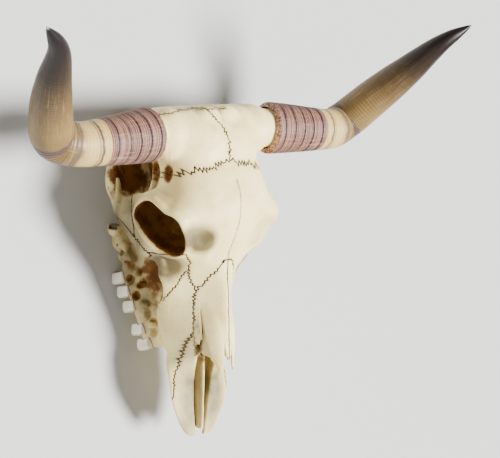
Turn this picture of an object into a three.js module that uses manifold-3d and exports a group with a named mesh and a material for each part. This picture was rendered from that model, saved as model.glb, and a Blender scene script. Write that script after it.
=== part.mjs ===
// Cow skull with long horns, lower jaw absent, resting on its back teeth and jugular processes.
// Skull axes while modelling: X to the animal's left, Y towards the poll, Z up off the forehead.
// Millimetres. The last step tilts the skull to its resting pose and drops it on Z = 0.
import * as THREE from 'three';
import { mergeVertices } from 'three/addons/utils/BufferGeometryUtils.js';
import Module from 'manifold-3d';

const wasm = await Module();
wasm.setup();

// ---------------------------------------------------------------- driving dimensions
const POLL_Y = 78;              // rear end of the skull roof, from the crossing of the sutures
const NASAL_ROOT_Y = -152;      // where the nasal bones start
const NASAL_TIP_Y = -325;       // front tip of the nasal bones
const SNOUT_TIP_Y = -438;       // front tip of the premaxillae
const FOREHEAD_Z = 24;          // highest point of the forehead
const CHEEK_THICK = 6.5;        // half the thickness of the cheek bar
const RIM_SPREAD = 1.24;        // outer size of the eye socket's lip against its opening
const NASAL_WIDTH = 36;         // half-width of the two nasal bones
const PALATE_WIDTH = 33;        // half-width of the palate between the tooth rows
const TOOTH = { long: 19, wide: 18, tall: 30, edge: 2.5 };
const CORE_RADIUS = 30;         // bony horn core where it leaves the skull
const SHEATH_BORE = 32.5;       // opening of the horn sheath round the core
const SHEATH_DEPTH = 24;        // how far that opening goes in
const COLLAR_SHARE = 0.225;     // share of the horn's length that is the ringed base
const REST_TILT = THREE.MathUtils.degToRad(10);
const FLOOR_LEVEL = -233.2;     // height of the resting plane below the suture crossing, tilted
const JOIN_TOLERANCE = 0.15;    // joins and cuts drop facets finer than this
const GAP = 0.3;                // clear width of a suture between two bones
const VOMER_HALF = 5;           // half the thickness of the partition in the nose
const FAR = 600;                // longer than any part of the skull

const BONE = { color: 0xeee6c8, roughness: 0.55, metalness: 0 };
const DARK_BONE = { color: 0xd8caa2, roughness: 0.6, metalness: 0 };
const HORN = { color: 0xb8a27c, roughness: 0.42, metalness: 0 };
const COLLAR = { color: 0xa5735f, roughness: 0.6, metalness: 0 };

// ---------------------------------------------------------------- shape helpers
const vec = (x, y, z) => new THREE.Vector3(x, y, z);
const spline = (points, closed = false) => new THREE.CatmullRomCurve3(points, closed, 'centripetal');

function solid(geometry) {
  const bare = geometry.clone();
  bare.deleteAttribute('normal');
  bare.deleteAttribute('uv');
  const merged = mergeVertices(bare, 1e-4);
  return new wasm.Manifold(new wasm.Mesh({
    numProp: 3,
    vertProperties: Float32Array.from(merged.attributes.position.array),
    triVerts: Uint32Array.from(merged.index.array),
    tolerance: JOIN_TOLERANCE,
  }));
}

// A closed skin over rings of equal length, with a fan over each end.
function loft(rings) {
  const size = rings[0].length;
  const position = [];
  const index = [];
  for (const ring of rings) ring.forEach((p) => position.push(p.x, p.y, p.z));
  const ends = [rings[0], rings[rings.length - 1]];
  for (const ring of ends) {
    const centre = ring.reduce((sum, p) => sum.add(p), vec(0, 0, 0)).divideScalar(size);
    position.push(centre.x, centre.y, centre.z);
  }
  const first = rings.length * size;
  const last = (rings.length - 1) * size;
  for (let i = 0; i < size; i += 1) {
    const next = (i + 1) % size;
    for (let r = 0; r < rings.length - 1; r += 1) {
      const a = r * size + i;
      const b = r * size + next;
      index.push(a, b, b + size, a, b + size, a + size);
    }
    index.push(first, next, i, first + 1, last + i, last + next);
  }
  const geometry = new THREE.BufferGeometry();
  geometry.setAttribute('position', new THREE.Float32BufferAttribute(position, 3));
  geometry.setIndex(index);
  const body = solid(geometry);
  if (body.volume() > 0) return body;
  geometry.setIndex(index.reverse());
  return solid(geometry);
}

// Sections through mirrored half-outlines. Each station is [y, [x, z], [x, z], ...] from the
// top midline to the bottom midline; smooth lines run through the same point of all stations.
function symmetricLoft(stations, perSpan = 1, perPoint = 3) {
  const outlines = stations.map(([y, ...half]) => {
    const right = half.map(([x, z]) => vec(-x, y, z));
    const left = half.slice(1, -1).reverse().map(([x, z]) => vec(x, y, z));
    return [...right, ...left];
  });
  const lines = outlines[0].map((_, i) => spline(outlines.map((outline) => outline[i])));
  const spans = (stations.length - 1) * perSpan;
  const rings = [];
  for (let s = 0; s <= spans; s += 1) {
    const ring = spline(lines.map((line) => line.getPoint(s / spans)), true);
    const count = lines.length * perPoint;
    rings.push(Array.from({ length: count }, (_, i) => ring.getPoint(i / count)));
  }
  return loft(rings);
}

// A round or flattened bar along a smooth line; size(t) gives its half-width and half-height.
function bar(line, size, spans, sides) {
  const frames = line.computeFrenetFrames(spans, line.closed);
  const rings = [];
  for (let s = 0; s <= spans; s += 1) {
    const [across, up] = size(s / spans);
    const centre = line.getPoint(s / spans);
    rings.push(Array.from({ length: sides }, (_, i) => {
      const angle = (i / sides) * Math.PI * 2;
      return centre.clone()
        .addScaledVector(frames.normals[s], across * Math.cos(angle))
        .addScaledVector(frames.binormals[s], up * Math.sin(angle));
    }));
  }
  return loft(rings);
}

function ellipsoid(centre, radii, turn = [0, 0, 0], across = 7, down = 4) {
  const geometry = new THREE.SphereGeometry(1, across, down);
  geometry.scale(...radii);
  geometry.rotateX(turn[0]);
  geometry.rotateY(turn[1]);
  geometry.rotateZ(turn[2]);
  geometry.translate(...centre);
  return solid(geometry);
}

// A prism over an outline in the X-Y plane, from low to high in Z.
function prism(outline, low = -FAR, high = FAR) {
  const shape = new THREE.Shape(outline.map(([x, y]) => new THREE.Vector2(x, y)));
  const geometry = new THREE.ExtrudeGeometry(shape, { depth: high - low, bevelEnabled: false });
  geometry.translate(0, 0, low);
  return solid(geometry);
}

function box(lowCorner, highCorner) {
  const size = highCorner.map((value, i) => value - lowCorner[i]);
  const geometry = new THREE.BoxGeometry(...size);
  geometry.translate(...lowCorner.map((value, i) => value + size[i] / 2));
  return solid(geometry);
}

const mirrored = (body) => body.mirror([1, 0, 0]);
const both = (body) => body.add(mirrored(body));
const union = (bodies) => bodies.reduce((sum, body) => sum.add(body));

// ---------------------------------------------------------------- skull roof and face
// Stations from the poll to the front of the face: midline, shoulder, edge, side, under, floor.
const roof = symmetricLoft([
  [POLL_Y, [0, -60], [45, -60], [84, -68], [86, -80], [50, -96], [0, -98]],
  [68, [0, -30], [48, -31], [90, -50], [94, -72], [60, -105], [0, -108]],
  [45, [0, -7], [48, -10], [88, -34], [92, -72], [60, -105], [0, -110]],
  [20, [0, 0], [46, -5], [82, -29], [90, -75], [60, -100], [0, -108]],
  [0, [0, 0], [46, -4], [76, -28], [86, -78], [58, -98], [0, -105]],
  [-25, [0, 13], [50, 6], [80, -22], [86, -80], [56, -98], [0, -105]],
  [-58, [0, FOREHEAD_Z], [54, 14], [90, -16], [98, -78], [60, -98], [0, -105]],
  [-84, [0, FOREHEAD_Z], [56, 15], [101, -14], [104, -78], [62, -100], [0, -106]],
  [-115, [0, 11], [52, 4], [90, -26], [98, -75], [62, -103], [0, -108]],
  [-145, [0, -3], [42, -12], [80, -50], [84, -75], [60, -105], [0, -112]],
  [-175, [0, -5], [36, -32], [75, -69], [72, -84], [50, -105], [0, -114]],
  [-205, [0, -4], [35, -40], [70, -84], [62, -94], [46, -108], [0, -116]],
  [-250, [0, -3], [34, -42], [60, -103], [51, -110], [38, -114], [0, -116]],
  [-302, [0, -2], [31, -44], [47, -99], [40, -108], [28, -110], [0, -110]],
], 1, 2);

const braincase = symmetricLoft([
  [48, [0, -60], [50, -80], [56, -120], [46, -165], [0, -180]],
  [-40, [0, -60], [50, -80], [52, -115], [36, -148], [0, -164]],
  [-100, [0, -60], [44, -80], [44, -112], [30, -142], [0, -154]],
  [-150, [0, -70], [34, -85], [34, -112], [26, -136], [0, -144]],
], 1, 1);

// ---------------------------------------------------------------- eye sockets
const socketEdge = spline([
  vec(-71, -134, -24), vec(-77, -116, -11), vec(-86, -100, -5), vec(-92, -87, -5),
  vec(-98, -79, -11), vec(-104, -74, -23), vec(-107, -65, -37), vec(-109, -58, -54),
  vec(-113, -64, -71), vec(-114, -82, -81), vec(-104, -117, -68), vec(-95, -132, -55),
  vec(-81, -138, -38),
], true);
const SOCKET_SIDES = 13;
const socketOutline = Array.from({ length: SOCKET_SIDES }, (_, i) => socketEdge.getPoint(i / SOCKET_SIDES));
const socketCentre = socketOutline.reduce((sum, p) => sum.add(p), vec(0, 0, 0))
  .divideScalar(SOCKET_SIDES);
const socketInward = vec(0.9, 0.3, -0.25).normalize();

// The opening's outline carried inwards: each step is [depth, share of the opening's size].
function socketLoft(steps) {
  return loft(steps.map(([depth, share]) => socketOutline.map((p) => p.clone()
    .sub(socketCentre)
    .multiplyScalar(share)
    .add(socketCentre)
    .addScaledVector(socketInward, depth))));
}
const socketHollow = socketLoft([[-45, 1.5], [-2, 1], [20, 0.96], [38, 0.76], [48, 0.4]]);
const socketWall = socketLoft([[-6, 1.06], [-3, RIM_SPREAD], [12, RIM_SPREAD], [58, 0.6]]);

// ---------------------------------------------------------------- cheek bars
const cheekBar = bar(
  spline([
    vec(-58, 22, -152), vec(-86, 8, -164), vec(-100, -20, -160), vec(-102, -64, -148),
    vec(-101, -98, -116), vec(-96, -130, -88), vec(-84, -152, -64), vec(-70, -186, -72),
  ]),
  (t) => [CHEEK_THICK, 9 + 10 * Math.exp(-(((t - 0.6) / 0.2) ** 2)) - 5 * t ** 4], 9, 6,
);
const orbitPost = ellipsoid([-102, -74, -104], [9, 26, 44]);
const templeFloor = ellipsoid([-58, -36, -170], [48, 50, 19]);
const jawJoint = ellipsoid([-70, 10, -156], [30, 20, 16]);

// ---------------------------------------------------------------- tooth-bearing bone
const toothRow = symmetricLoft([
  [-140, [0, -100], [40, -108], [56, -140], [62, -170], [46, -176], [34, -150], [0, -146]],
  [-170, [0, -105], [46, -112], [60, -144], [71, -178], [50, -184], [PALATE_WIDTH, -158], [0, -150]],
  [-205, [0, -105], [44, -114], [59, -144], [70, -172], [50, -178], [PALATE_WIDTH, -154], [0, -146]],
  [-250, [0, -105], [38, -112], [54, -134], [63, -156], [46, -160], [28, -140], [0, -134]],
  [-300, [0, -98], [32, -104], [44, -122], [54, -142], [38, -144], [20, -126], [0, -118]],
], 1, 1);

function toothBlock(x, y, z) {
  const half = [TOOTH.wide / 2 - TOOTH.edge, TOOTH.long / 2 - TOOTH.edge];
  const outline = new THREE.Shape();
  outline.moveTo(-half[0], -half[1]);
  outline.lineTo(half[0], -half[1]);
  outline.lineTo(half[0], half[1]);
  outline.lineTo(-half[0], half[1]);
  const geometry = new THREE.ExtrudeGeometry(outline, {
    depth: TOOTH.tall - TOOTH.edge * 2,
    bevelSize: TOOTH.edge,
    bevelThickness: TOOTH.edge,
    bevelSegments: 1,
  });
  geometry.translate(0, 0, TOOTH.edge - 11);
  geometry.rotateZ(-0.12);
  geometry.rotateX(-0.28);
  geometry.translate(x, y, z);
  return solid(geometry);
}

// Three molars, a lost tooth, then two premolars, on one line that rises to the front.
const toothLine = new THREE.LineCurve3(vec(-69, -196, -191), vec(-51, -300, -149));
const TOOTH_PLACES = [0, 0.2, 0.42, 0.76, 0.98];
const teeth = union(TOOTH_PLACES.map((t) => toothBlock(...toothLine.getPoint(t).toArray())));

const toothTuber = ellipsoid([-63, -134, -186], [18, 21, 18])
  .add(ellipsoid([-66, -157, -170], [15, 14, 15]));
const pterygoid = bar(
  spline([vec(-30, -96, -130), vec(-44, -112, -158), vec(-52, -130, -180)]),
  () => [10, 17], 2, 6,
);

// ---------------------------------------------------------------- back of the skull
const NUCHAL_SIDES = 8;
function occiputRing(z, front, back, half) {
  const corner = 0.55;
  const y = (front + back) / 2;
  const deep = (back - front) / 2;
  return Array.from({ length: NUCHAL_SIDES }, (_, i) => {
    const angle = (i / NUCHAL_SIDES) * Math.PI * 2;
    const across = Math.sign(Math.cos(angle)) * Math.abs(Math.cos(angle)) ** corner;
    const along = Math.sign(Math.sin(angle)) * Math.abs(Math.sin(angle)) ** corner;
    return vec(half * across, y + deep * along, z);
  });
}
const nuchalWall = loft([
  occiputRing(-62, 36, 74, 84),
  occiputRing(-80, 30, 76, 86),
  occiputRing(-110, 18, 66, 79),
  occiputRing(-165, 0, 54, 58),
  occiputRing(-206, -6, 48, 32),
]);
const condyle = ellipsoid([-26, 36, -192], [17, 24, 22], [0.3, 0, 0.2]);
const jugularProcess = bar(
  spline([vec(-56, 30, -160), vec(-54, 40, -196), vec(-49, 45, -222), vec(-46, 46, -246)]),
  (t) => [13 - 6 * t, 17 - 9 * t], 3, 6,
);
const earBulb = ellipsoid([-44, 0, -178], [15, 18, 16]);
const skullBase = bar(
  spline([vec(0, 40, -196), vec(0, -20, -176), vec(0, -110, -150)]),
  () => [15, 22], 1, 6,
);
const foramenMagnum = bar(
  spline([vec(0, 6, -166), vec(0, 46, -170), vec(0, 90, -174)]),
  () => [15, 19], 1, 8,
);

// ---------------------------------------------------------------- horns
const hornLine = spline([
  vec(112, 41, -49), vec(160, 38, -44), vec(205, 35, -41), vec(250, 34, -44), vec(281, 43, -48),
  vec(314, 84, -9), vec(340, 125, 37), vec(367, 172, 90), vec(404, 200, 119),
]);
hornLine.arcLengthDivisions = 400;
const HORN_LENGTH = hornLine.getLength();
const HORN_RADII = [[0, 41], [0.1, 38.5], [0.2, 35], [0.3, 33], [0.45, 32.5], [0.55, 31],
  [0.65, 28], [0.75, 23], [0.85, 16.5], [0.93, 10.5], [0.98, 4.5], [1, 1.2]];

function hornRadius(t) {
  const next = Math.max(1, HORN_RADII.findIndex(([at]) => at >= t));
  const [[t0, r0], [t1, r1]] = [HORN_RADII[next - 1], HORN_RADII[next]];
  return r0 + ((r1 - r0) * (t - t0)) / (t1 - t0);
}

// A stretch of the horn between two shares of its length.
function hornLength(from, to, spans, sides, radius) {
  const stretch = Array.from({ length: spans + 1 }, (_, s) => from + ((to - from) * s) / spans);
  const upright = vec(0, 0, 1);
  return loft(stretch.map((t) => {
    const centre = hornLine.getPointAt(t);
    const along = hornLine.getTangentAt(t);
    const side = upright.clone().cross(along).normalize();
    const over = along.clone().cross(side);
    return Array.from({ length: sides }, (_, i) => {
      const angle = (i / sides) * Math.PI * 2;
      return centre.clone()
        .addScaledVector(side, radius(t) * Math.cos(angle))
        .addScaledVector(over, radius(t) * Math.sin(angle));
    });
  }));
}

const HORN_SIDES = 11;
const boreLine = spline([vec(60, 41, -52), vec(112, 41, -49), vec(112 + SHEATH_DEPTH, 39.5, -46.5)]);
const bore = bar(boreLine, () => [SHEATH_BORE, SHEATH_BORE], 2, HORN_SIDES);
const hornCore = bar(
  spline([vec(40, 40, -54), vec(80, 41, -50), vec(112, 41, -49), vec(132, 40, -47)]),
  (t) => [CORE_RADIUS + 5 * (1 - t) ** 2, CORE_RADIUS + 5 * (1 - t) ** 2], 3, HORN_SIDES,
);
const COLLAR_SPANS = 2;
const collarLeft = hornLength(0, COLLAR_SHARE, COLLAR_SPANS, HORN_SIDES, hornRadius).subtract(bore);
const shaftLeft = hornLength(COLLAR_SHARE + GAP / HORN_LENGTH, 1, 11, HORN_SIDES, hornRadius);

// ---------------------------------------------------------------- nasal passage
const nasalPassage = symmetricLoft([
  [-190, [0, -24], [14, -40], [18, -62], [12, -82], [0, -86]],
  [-250, [0, -14], [17, -34], [21, -62], [18, -86], [0, -91]],
  [-306, [0, -10], [19, -36], [21, -62], [22, -90], [0, -95]],
], 1, 1);

// Roof of the nose: an arched plate that reaches past the face to the nasal tips.
const nasalPlate = symmetricLoft([
  [NASAL_ROOT_Y - 60, [0, -14], [17, -20], [32, -48], [31, -54], [15, -27], [0, -21]],
  [-270, [0, -3], [17, -9], [33, -40], [32, -46], [15, -15], [0, -9]],
  [-300, [0, -2], [15, -8], [31, -42], [30, -47], [13, -13], [0, -7]],
  [NASAL_TIP_Y - 1, [0, -3], [14, -8], [26, -34], [25, -38], [12, -12], [0, -7]],
], 1, 2);

// Top outlines of the right-hand bones; the left-hand ones are their mirror images.
const nasalOutline = [
  [0, NASAL_ROOT_Y], [-7, NASAL_ROOT_Y + 1], [-NASAL_WIDTH, -199], [-NASAL_WIDTH, -291],
  [-31, -284], [-29.6, -264], [-29.2, -224], [-27, -264], [-24, -290], [-18, -312],
  [-13, NASAL_TIP_Y], [-8, NASAL_TIP_Y + 6], [-5, -303], [0, -312],
];
const nasalBed = [
  [0, NASAL_ROOT_Y], [-7, NASAL_ROOT_Y + 1], [-NASAL_WIDTH, -199], [-NASAL_WIDTH, -340], [0, -340],
];

// ---------------------------------------------------------------- premaxillae and vomer
const premaxilla = loft([
  [-250, 27, 38, -50, -56, -72], [-280, 26, 43, -48, -57, -86], [-306, 23, 50, -52, -60, -93],
  [-322, 20, 57, -60, -65, -85], [-346, 17, 57, -67, -69, -78], [-368, 15, 56, -70, -69, -75],
  [-404, 12, 44, -73, -71, -75], [-420, 10, 36, -74, -72, -76], [-433, 8, 26, -74, -72.5, -75],
  [SNOUT_TIP_Y, 6, 16, -73, -73, -74],
].map(([y, inner, outer, high, crest, low]) => {
  const middle = inner * 0.45 + outer * 0.55;
  const deep = (outer - inner) * 0.3;
  return [
    vec(-inner, y, high), vec(-middle, y, crest), vec(-outer, y, low),
    vec(-outer + 3, y, low - 4), vec(-middle, y, low - 4 - deep), vec(-inner - 1, y, high - 7),
  ];
}));
const palateShelf = loft([
  [-300, 42, -98, -108], [-340, 36, -86, -96], [-385, 30, -82, -90], [-425, 16, -78, -84],
].map(([y, outer, high, low]) => [
  vec(-1.2, y, high + 2), vec(-outer, y, high), vec(-outer, y, low), vec(-1.2, y, low),
]));
const vomer = bar(
  spline([vec(0, -262, -80), vec(0, -330, -78), vec(0, -400, -78), vec(0, -427, -78)]),
  (t) => [18 - 7 * t, 5.4 - t], 4, 6,
);

// ---------------------------------------------------------------- whole skull, then its openings
const temporalPits = both(union([
  ellipsoid([-88, -30, -116], [38, 30, 34], [0, 0.2, 0], 8, 5),
  ellipsoid([-96, -20, -70], [22, 22, 10]),
  ellipsoid([-92, -17, -40], [13, 15, 8]),
]));
const templeHook = both(bar(
  spline([vec(-109, -70, -134), vec(-107, -54, -137), vec(-105, -40, -140), vec(-104, -31, -143)]),
  (t) => [6 - 3.5 * t, 6 - 3.5 * t], 2, 5,
));
const cheekHollow = both(ellipsoid([-76, -186, -106], [26, 42, 29], [-0.1, 0, 0.2], 8, 5));
const choanae = ellipsoid([0, -138, -128], [17, 30, 13]);

const skull = union([
  roof, braincase, nuchalWall, skullBase, toothRow, nasalPlate, vomer,
  both(union([
    socketWall, cheekBar, orbitPost, templeFloor, jawJoint, teeth, toothTuber, pterygoid, condyle,
    jugularProcess, earBulb, premaxilla, palateShelf, mirrored(hornCore),
  ])),
])
  .subtract(both(socketHollow))
  .subtract(temporalPits)
  .add(templeHook)
  .subtract(cheekHollow)
  .subtract(foramenMagnum)
  .subtract(choanae)
  .subtract(nasalPassage.subtract(box([-VOMER_HALF, -FAR, -FAR], [VOMER_HALF, FAR, -70])))
  .subtract(box([-FAR, -FAR, -FAR], [FAR, FAR, FLOOR_LEVEL])
    .rotate([-THREE.MathUtils.radToDeg(REST_TILT), 0, 0]));

// ---------------------------------------------------------------- parting along the sutures
function offset(outline, depth) {
  const points = outline.map(([x, y]) => new THREE.Vector2(x, y));
  if (THREE.ShapeUtils.isClockWise(points)) points.reverse();
  const inward = (a, b) => new THREE.Vector2(a.y - b.y, b.x - a.x).normalize();
  return points.map((point, i) => {
    const before = points[(i + points.length - 1) % points.length];
    const after = points[(i + 1) % points.length];
    const ahead = inward(before, point);
    const turn = ahead.clone().add(inward(point, after)).normalize();
    return point.clone().addScaledVector(turn, depth / Math.max(0.4, turn.dot(ahead))).toArray();
  });
}

// Regions give a slightly smaller body to cut a bone out with and a larger one to cut its bed.
const fromAbove = (outline, low = -FAR, high = FAR) => (depth) => (
  prism(offset(outline, depth), low + depth, high - depth));
const fromRight = (outline, near) => (depth) => {
  const body = prism(offset(outline.map(([y, z]) => [z, y]), depth), near + depth, FAR);
  return body.rotate([0, -90, 0]);
};

// Slivers that a cut leaves beside a bone are dropped.
function largest(body) {
  return body.decompose().sort((a, b) => b.volume() - a.volume())[0];
}

let rest = skull;
const bones = {};
function take(name, region, keep = region) {
  bones[name] = largest(rest.intersect(keep(GAP / 2)));
  rest = rest.subtract(region(-GAP / 2));
}
function takePair(name, region, keep = region) {
  const flip = (maker) => (depth) => mirrored(maker(depth));
  take(`${name}_right`, region, keep);
  take(`${name}_left`, flip(region), flip(keep));
}

const BASE_Z = -100;            // the roof bones end here and the skull base begins
const zygomaticSide = [
  [-80, -176], [-97, -124], [-143, -70], [-150, -84], [-150, -114], [-122, -146], [-104, -190],
];
takePair('zygomatic', fromRight(zygomaticSide, 72));
takePair('temporal', fromRight([[-115, -190], [-12, -190], [-12, BASE_Z], [-115, BASE_Z]], 84));
takePair('nasal', fromAbove(nasalBed, -46), fromAbove(nasalOutline, -46));
take('vomer', fromAbove([[-6, -262], [6, -262], [6, -440], [-6, -440]], -96, -55));
const noseWedge = fromAbove([[-22, -306], [-24, -262], [-34, -264], [-36.5, -270], [-41, -306]], -72);
const noseFront = fromAbove([
  [0, -500], [0, -301], [-22, -301], [-41, -305], [-50, -330], [-54.5, -370], [-80, -390],
  [-80, -500],
], -114);
takePair('premaxilla', (depth) => noseFront(depth).add(noseWedge(depth)));
takePair('poll', fromAbove([[0, 0], [-70, -23], [-160, -44], [-160, 120], [0, 120]], BASE_Z));
takePair('lacrimal', fromAbove([
  [-70, -139], [-54, -153], [-51, -165], [-66, -218], [-82, -205], [-94, -166], [-130, -160],
  [-130, -139],
], -84));
take('frontal', fromAbove([
  [160, -44], [70, -23], [0, 0], [-70, -23], [-160, -44], [-160, -139], [-70, -139],
  [-54, -153], [-51, -165], [-NASAL_WIDTH, -199], [-7, NASAL_ROOT_Y + 1],
  [7, NASAL_ROOT_Y + 1], [NASAL_WIDTH, -199], [51, -165], [54, -153], [70, -139], [160, -139],
], BASE_Z));
takePair('maxilla', fromAbove([[0, -108], [-160, -108], [-160, -400], [0, -400]]));
take('occipital', fromAbove([[-160, -12], [160, -12], [160, 160], [-160, 160]]));
bones.skull_base = largest(rest);

// ---------------------------------------------------------------- named pieces
const group = new THREE.Group();
function piece(name, body, look) {
  const { numProp, vertProperties, triVerts } = body.getMesh();
  const geometry = new THREE.BufferGeometry();
  const position = new Float32Array((vertProperties.length / numProp) * 3);
  for (let i = 0; i < position.length / 3; i += 1) {
    for (let axis = 0; axis < 3; axis += 1) position[i * 3 + axis] = vertProperties[i * numProp + axis];
  }
  geometry.setAttribute('position', new THREE.BufferAttribute(position, 3));
  geometry.setIndex(new THREE.BufferAttribute(Uint32Array.from(triVerts), 1));
  const mesh = new THREE.Mesh(geometry, new THREE.MeshStandardMaterial(look));
  mesh.name = name;
  group.add(mesh);
}
for (const [name, body] of Object.entries(bones)) {
  piece(name, body, ['skull_base', 'occipital'].includes(name) ? DARK_BONE : BONE);
}
for (const [side, place] of [['left', (body) => body], ['right', mirrored]]) {
  piece(`horn_collar_${side}`, place(collarLeft), COLLAR);
  piece(`horn_${side}`, place(shaftLeft), HORN);
}
group.rotation.x = REST_TILT;
group.position.z = -FLOOR_LEVEL;
group.updateMatrixWorld(true);
const centre = new THREE.Box3().setFromObject(group, true).getCenter(vec(0, 0, 0));
group.position.x = -centre.x;
group.position.y = -centre.y;
export default group;
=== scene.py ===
# %% [markdown]
# # A long-horned cow skull
# The skull is one family of bones, grown together along zigzag seams. A mesh that is pushed
# about by hand would tear at every eye socket, so the bones start as one distance field: a block
# of numbers that says how far each point is from the bone. Fields join and cut softly, the way
# bone does. Lofted skins make the big forms, softened cuts make the openings, and each bone is
# then taken out of the field along its own seam and turned into a mesh.

# %% Load the frame
import math
import bpy
import numpy as np
import openvdb
from mathutils import Matrix, Vector


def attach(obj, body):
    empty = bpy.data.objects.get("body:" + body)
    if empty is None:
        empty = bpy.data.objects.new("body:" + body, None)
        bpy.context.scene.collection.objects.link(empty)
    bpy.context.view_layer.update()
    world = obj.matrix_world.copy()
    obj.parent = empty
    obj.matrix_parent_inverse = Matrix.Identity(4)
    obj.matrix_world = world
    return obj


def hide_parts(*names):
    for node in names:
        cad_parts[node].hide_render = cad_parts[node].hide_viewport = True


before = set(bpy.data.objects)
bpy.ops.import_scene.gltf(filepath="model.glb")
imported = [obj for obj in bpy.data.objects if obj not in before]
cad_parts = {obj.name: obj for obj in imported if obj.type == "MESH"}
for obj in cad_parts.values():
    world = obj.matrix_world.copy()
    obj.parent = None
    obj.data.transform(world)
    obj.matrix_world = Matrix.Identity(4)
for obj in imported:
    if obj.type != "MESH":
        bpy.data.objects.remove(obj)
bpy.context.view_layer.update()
print("frame nodes:", len(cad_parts))

# %% [markdown]
# The skull is modelled on its own axes, in millimetres: X to the animal's left, Y to the back of
# the head, Z up off the forehead, from the point where the two seams of the forehead cross. The
# frame holds it tilted and lifted, as it rests. One small function carries points over.

# %% Skull axes and resting pose
REST_TILT = math.radians(10)
SUTURE_CROSS = (0.0, 0.12064, 0.2332)     # place of the seams' crossing in the frame, metres
MM = 0.001


def to_frame(points):
    x, y, z = np.asarray(points, dtype=float).T
    tilted = [x, y * math.cos(REST_TILT) - z * math.sin(REST_TILT),
              y * math.sin(REST_TILT) + z * math.cos(REST_TILT)]
    return np.stack(tilted, 1) * MM + SUTURE_CROSS


# %% [markdown]
# The field is a grid of voxels over the right half of the skull.

# %% The grid
VOXEL = 1.2
BAND = 14 / VOXEL                        # distance is known this far from a skin, in voxels
OPEN_AIR = 60.0                          # millimetres, stands for anywhere beyond that
LOW = np.floor(np.array([-138, -444, -254]) / VOXEL).astype(int)
HIGH = np.ceil(np.array([0, 88, 30]) / VOXEL).astype(int)
HIGH[0] = 0
SHAPE = tuple(HIGH - LOW + 1)
GX, GY, GZ = [(np.arange(LOW[a], HIGH[a] + 1) * VOXEL).astype(np.float32) for a in range(3)]
print("half grid:", SHAPE)


# %% [markdown]
# Smooth lines run through a few named points. The centripetal kind never overshoots, which keeps
# thin bone thin.

# %% Smooth lines
def spline(points, shares, closed=False):
    pts = np.asarray(points, dtype=float)
    count = len(pts)
    place = np.asarray(shares) * (count if closed else count - 1)
    start = np.floor(place).astype(int)
    if not closed:
        start = np.minimum(start, count - 2)
    w = (place - start)[:, None]
    if closed:
        p0, p1, p2, p3 = [pts[(start + k) % count] for k in (-1, 0, 1, 2)]
    else:
        padded = np.vstack([2 * pts[0] - pts[1], pts, 2 * pts[-1] - pts[-2]])
        p0, p1, p2, p3 = [padded[start + k] for k in (0, 1, 2, 3)]
    d0, d1, d2 = [np.maximum(np.linalg.norm(b - a, axis=1), 1e-4)[:, None] ** 0.5
                  for a, b in ((p0, p1), (p1, p2), (p2, p3))]
    t1 = ((p1 - p0) / d0 - (p2 - p0) / (d0 + d1) + (p2 - p1) / d1) * d1
    t2 = ((p2 - p1) / d1 - (p3 - p1) / (d1 + d2) + (p3 - p2) / d2) * d1
    return (p1 + t1 * w + (3 * (p2 - p1) - 2 * t1 - t2) * w ** 2
            + (2 * (p1 - p2) + t1 + t2) * w ** 3)


def steps(count, closed=False):
    return np.arange(count) / count if closed else np.linspace(0, 1, count)


def circle(count):
    return steps(count, True) * 2 * np.pi


def through(stations, spans):
    """Rings of points on smooth lines that run from station to station."""
    stations = np.asarray(stations)
    return np.stack([spline(line, steps(spans)) for line in stations.swapaxes(0, 1)], 1)


# %% [markdown]
# A loft is a skin over rings of points. Its closed mesh is handed to the volume library, which
# fills the grid with the distance to it.

# %% Lofts and bars as distance fields
def skin_faces(rings):
    spans, size = rings.shape[:2]
    i = np.arange(size)
    nxt = (i + 1) % size
    quads = np.concatenate([
        np.stack([r * size + i, r * size + nxt, (r + 1) * size + nxt, (r + 1) * size + i], 1)
        for r in range(spans - 1)])
    first, last = spans * size, spans * size + 1
    end = (spans - 1) * size
    caps = np.concatenate([np.stack([i * 0 + first, nxt, i], 1),
                           np.stack([i * 0 + last, end + i, end + nxt], 1)])
    points = np.vstack([rings.reshape(-1, 3), rings[0].mean(0), rings[-1].mean(0)])
    return points, caps, quads


def field_of(rings):
    points, caps, quads = skin_faces(rings)
    grid = openvdb.FloatGrid.createLevelSetFromPolygons(
        points.astype(np.float32), triangles=caps.astype(np.uint32),
        quads=quads.astype(np.uint32),
        transform=openvdb.createLinearTransform(voxelSize=VOXEL), halfWidth=BAND)
    values = np.empty(SHAPE, np.float32)
    grid.copyToArray(values, ijk=tuple(int(v) for v in LOW))
    values[values > BAND * VOXEL - 0.01] = OPEN_AIR
    return values


def loft(stations, spans=120, per_point=8):
    """Each station is (y, (x, z), ...) from the top midline round one side to the bottom."""
    outlines = np.array([
        [(-x, y, z) for x, z in half] + [(x, y, z) for x, z in half[-2:0:-1]]
        for y, *half in stations], dtype=float)
    lines = through(outlines, spans)
    count = lines.shape[1] * per_point
    return field_of(np.stack([spline(ring, steps(count, True), True) for ring in lines]))


def bar(points, across, up, side, spans=60, sides=28):
    """A bar along a line; across and up are its half-sizes, each a number or a function."""
    t = steps(spans)
    line = spline(points, t)
    along = np.gradient(line, axis=0)
    along /= np.linalg.norm(along, axis=1)[:, None]
    over = np.cross(along, np.asarray(side, dtype=float))
    over /= np.linalg.norm(over, axis=1)[:, None]
    flat = np.cross(over, along)
    half = [np.broadcast_to(size(t) if callable(size) else size, t.shape)[:, None, None]
            for size in (across, up)]
    angle = circle(sides)[None, :, None]
    return field_of(line[:, None] + flat[:, None] * half[0] * np.cos(angle)
                    + over[:, None] * half[1] * np.sin(angle))


# %% [markdown]
# Round lumps and pits are ellipsoids, which need no mesh: a formula gives their distance. It is
# worked out only in the small block of the grid that they can reach.

# %% Soft joins and cuts
ROUGH_SWELL = 9.0                        # millimetres from swell to swell on rough lumps and pits
ROOM = 8                                 # millimetres round a lump that its block takes in


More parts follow.
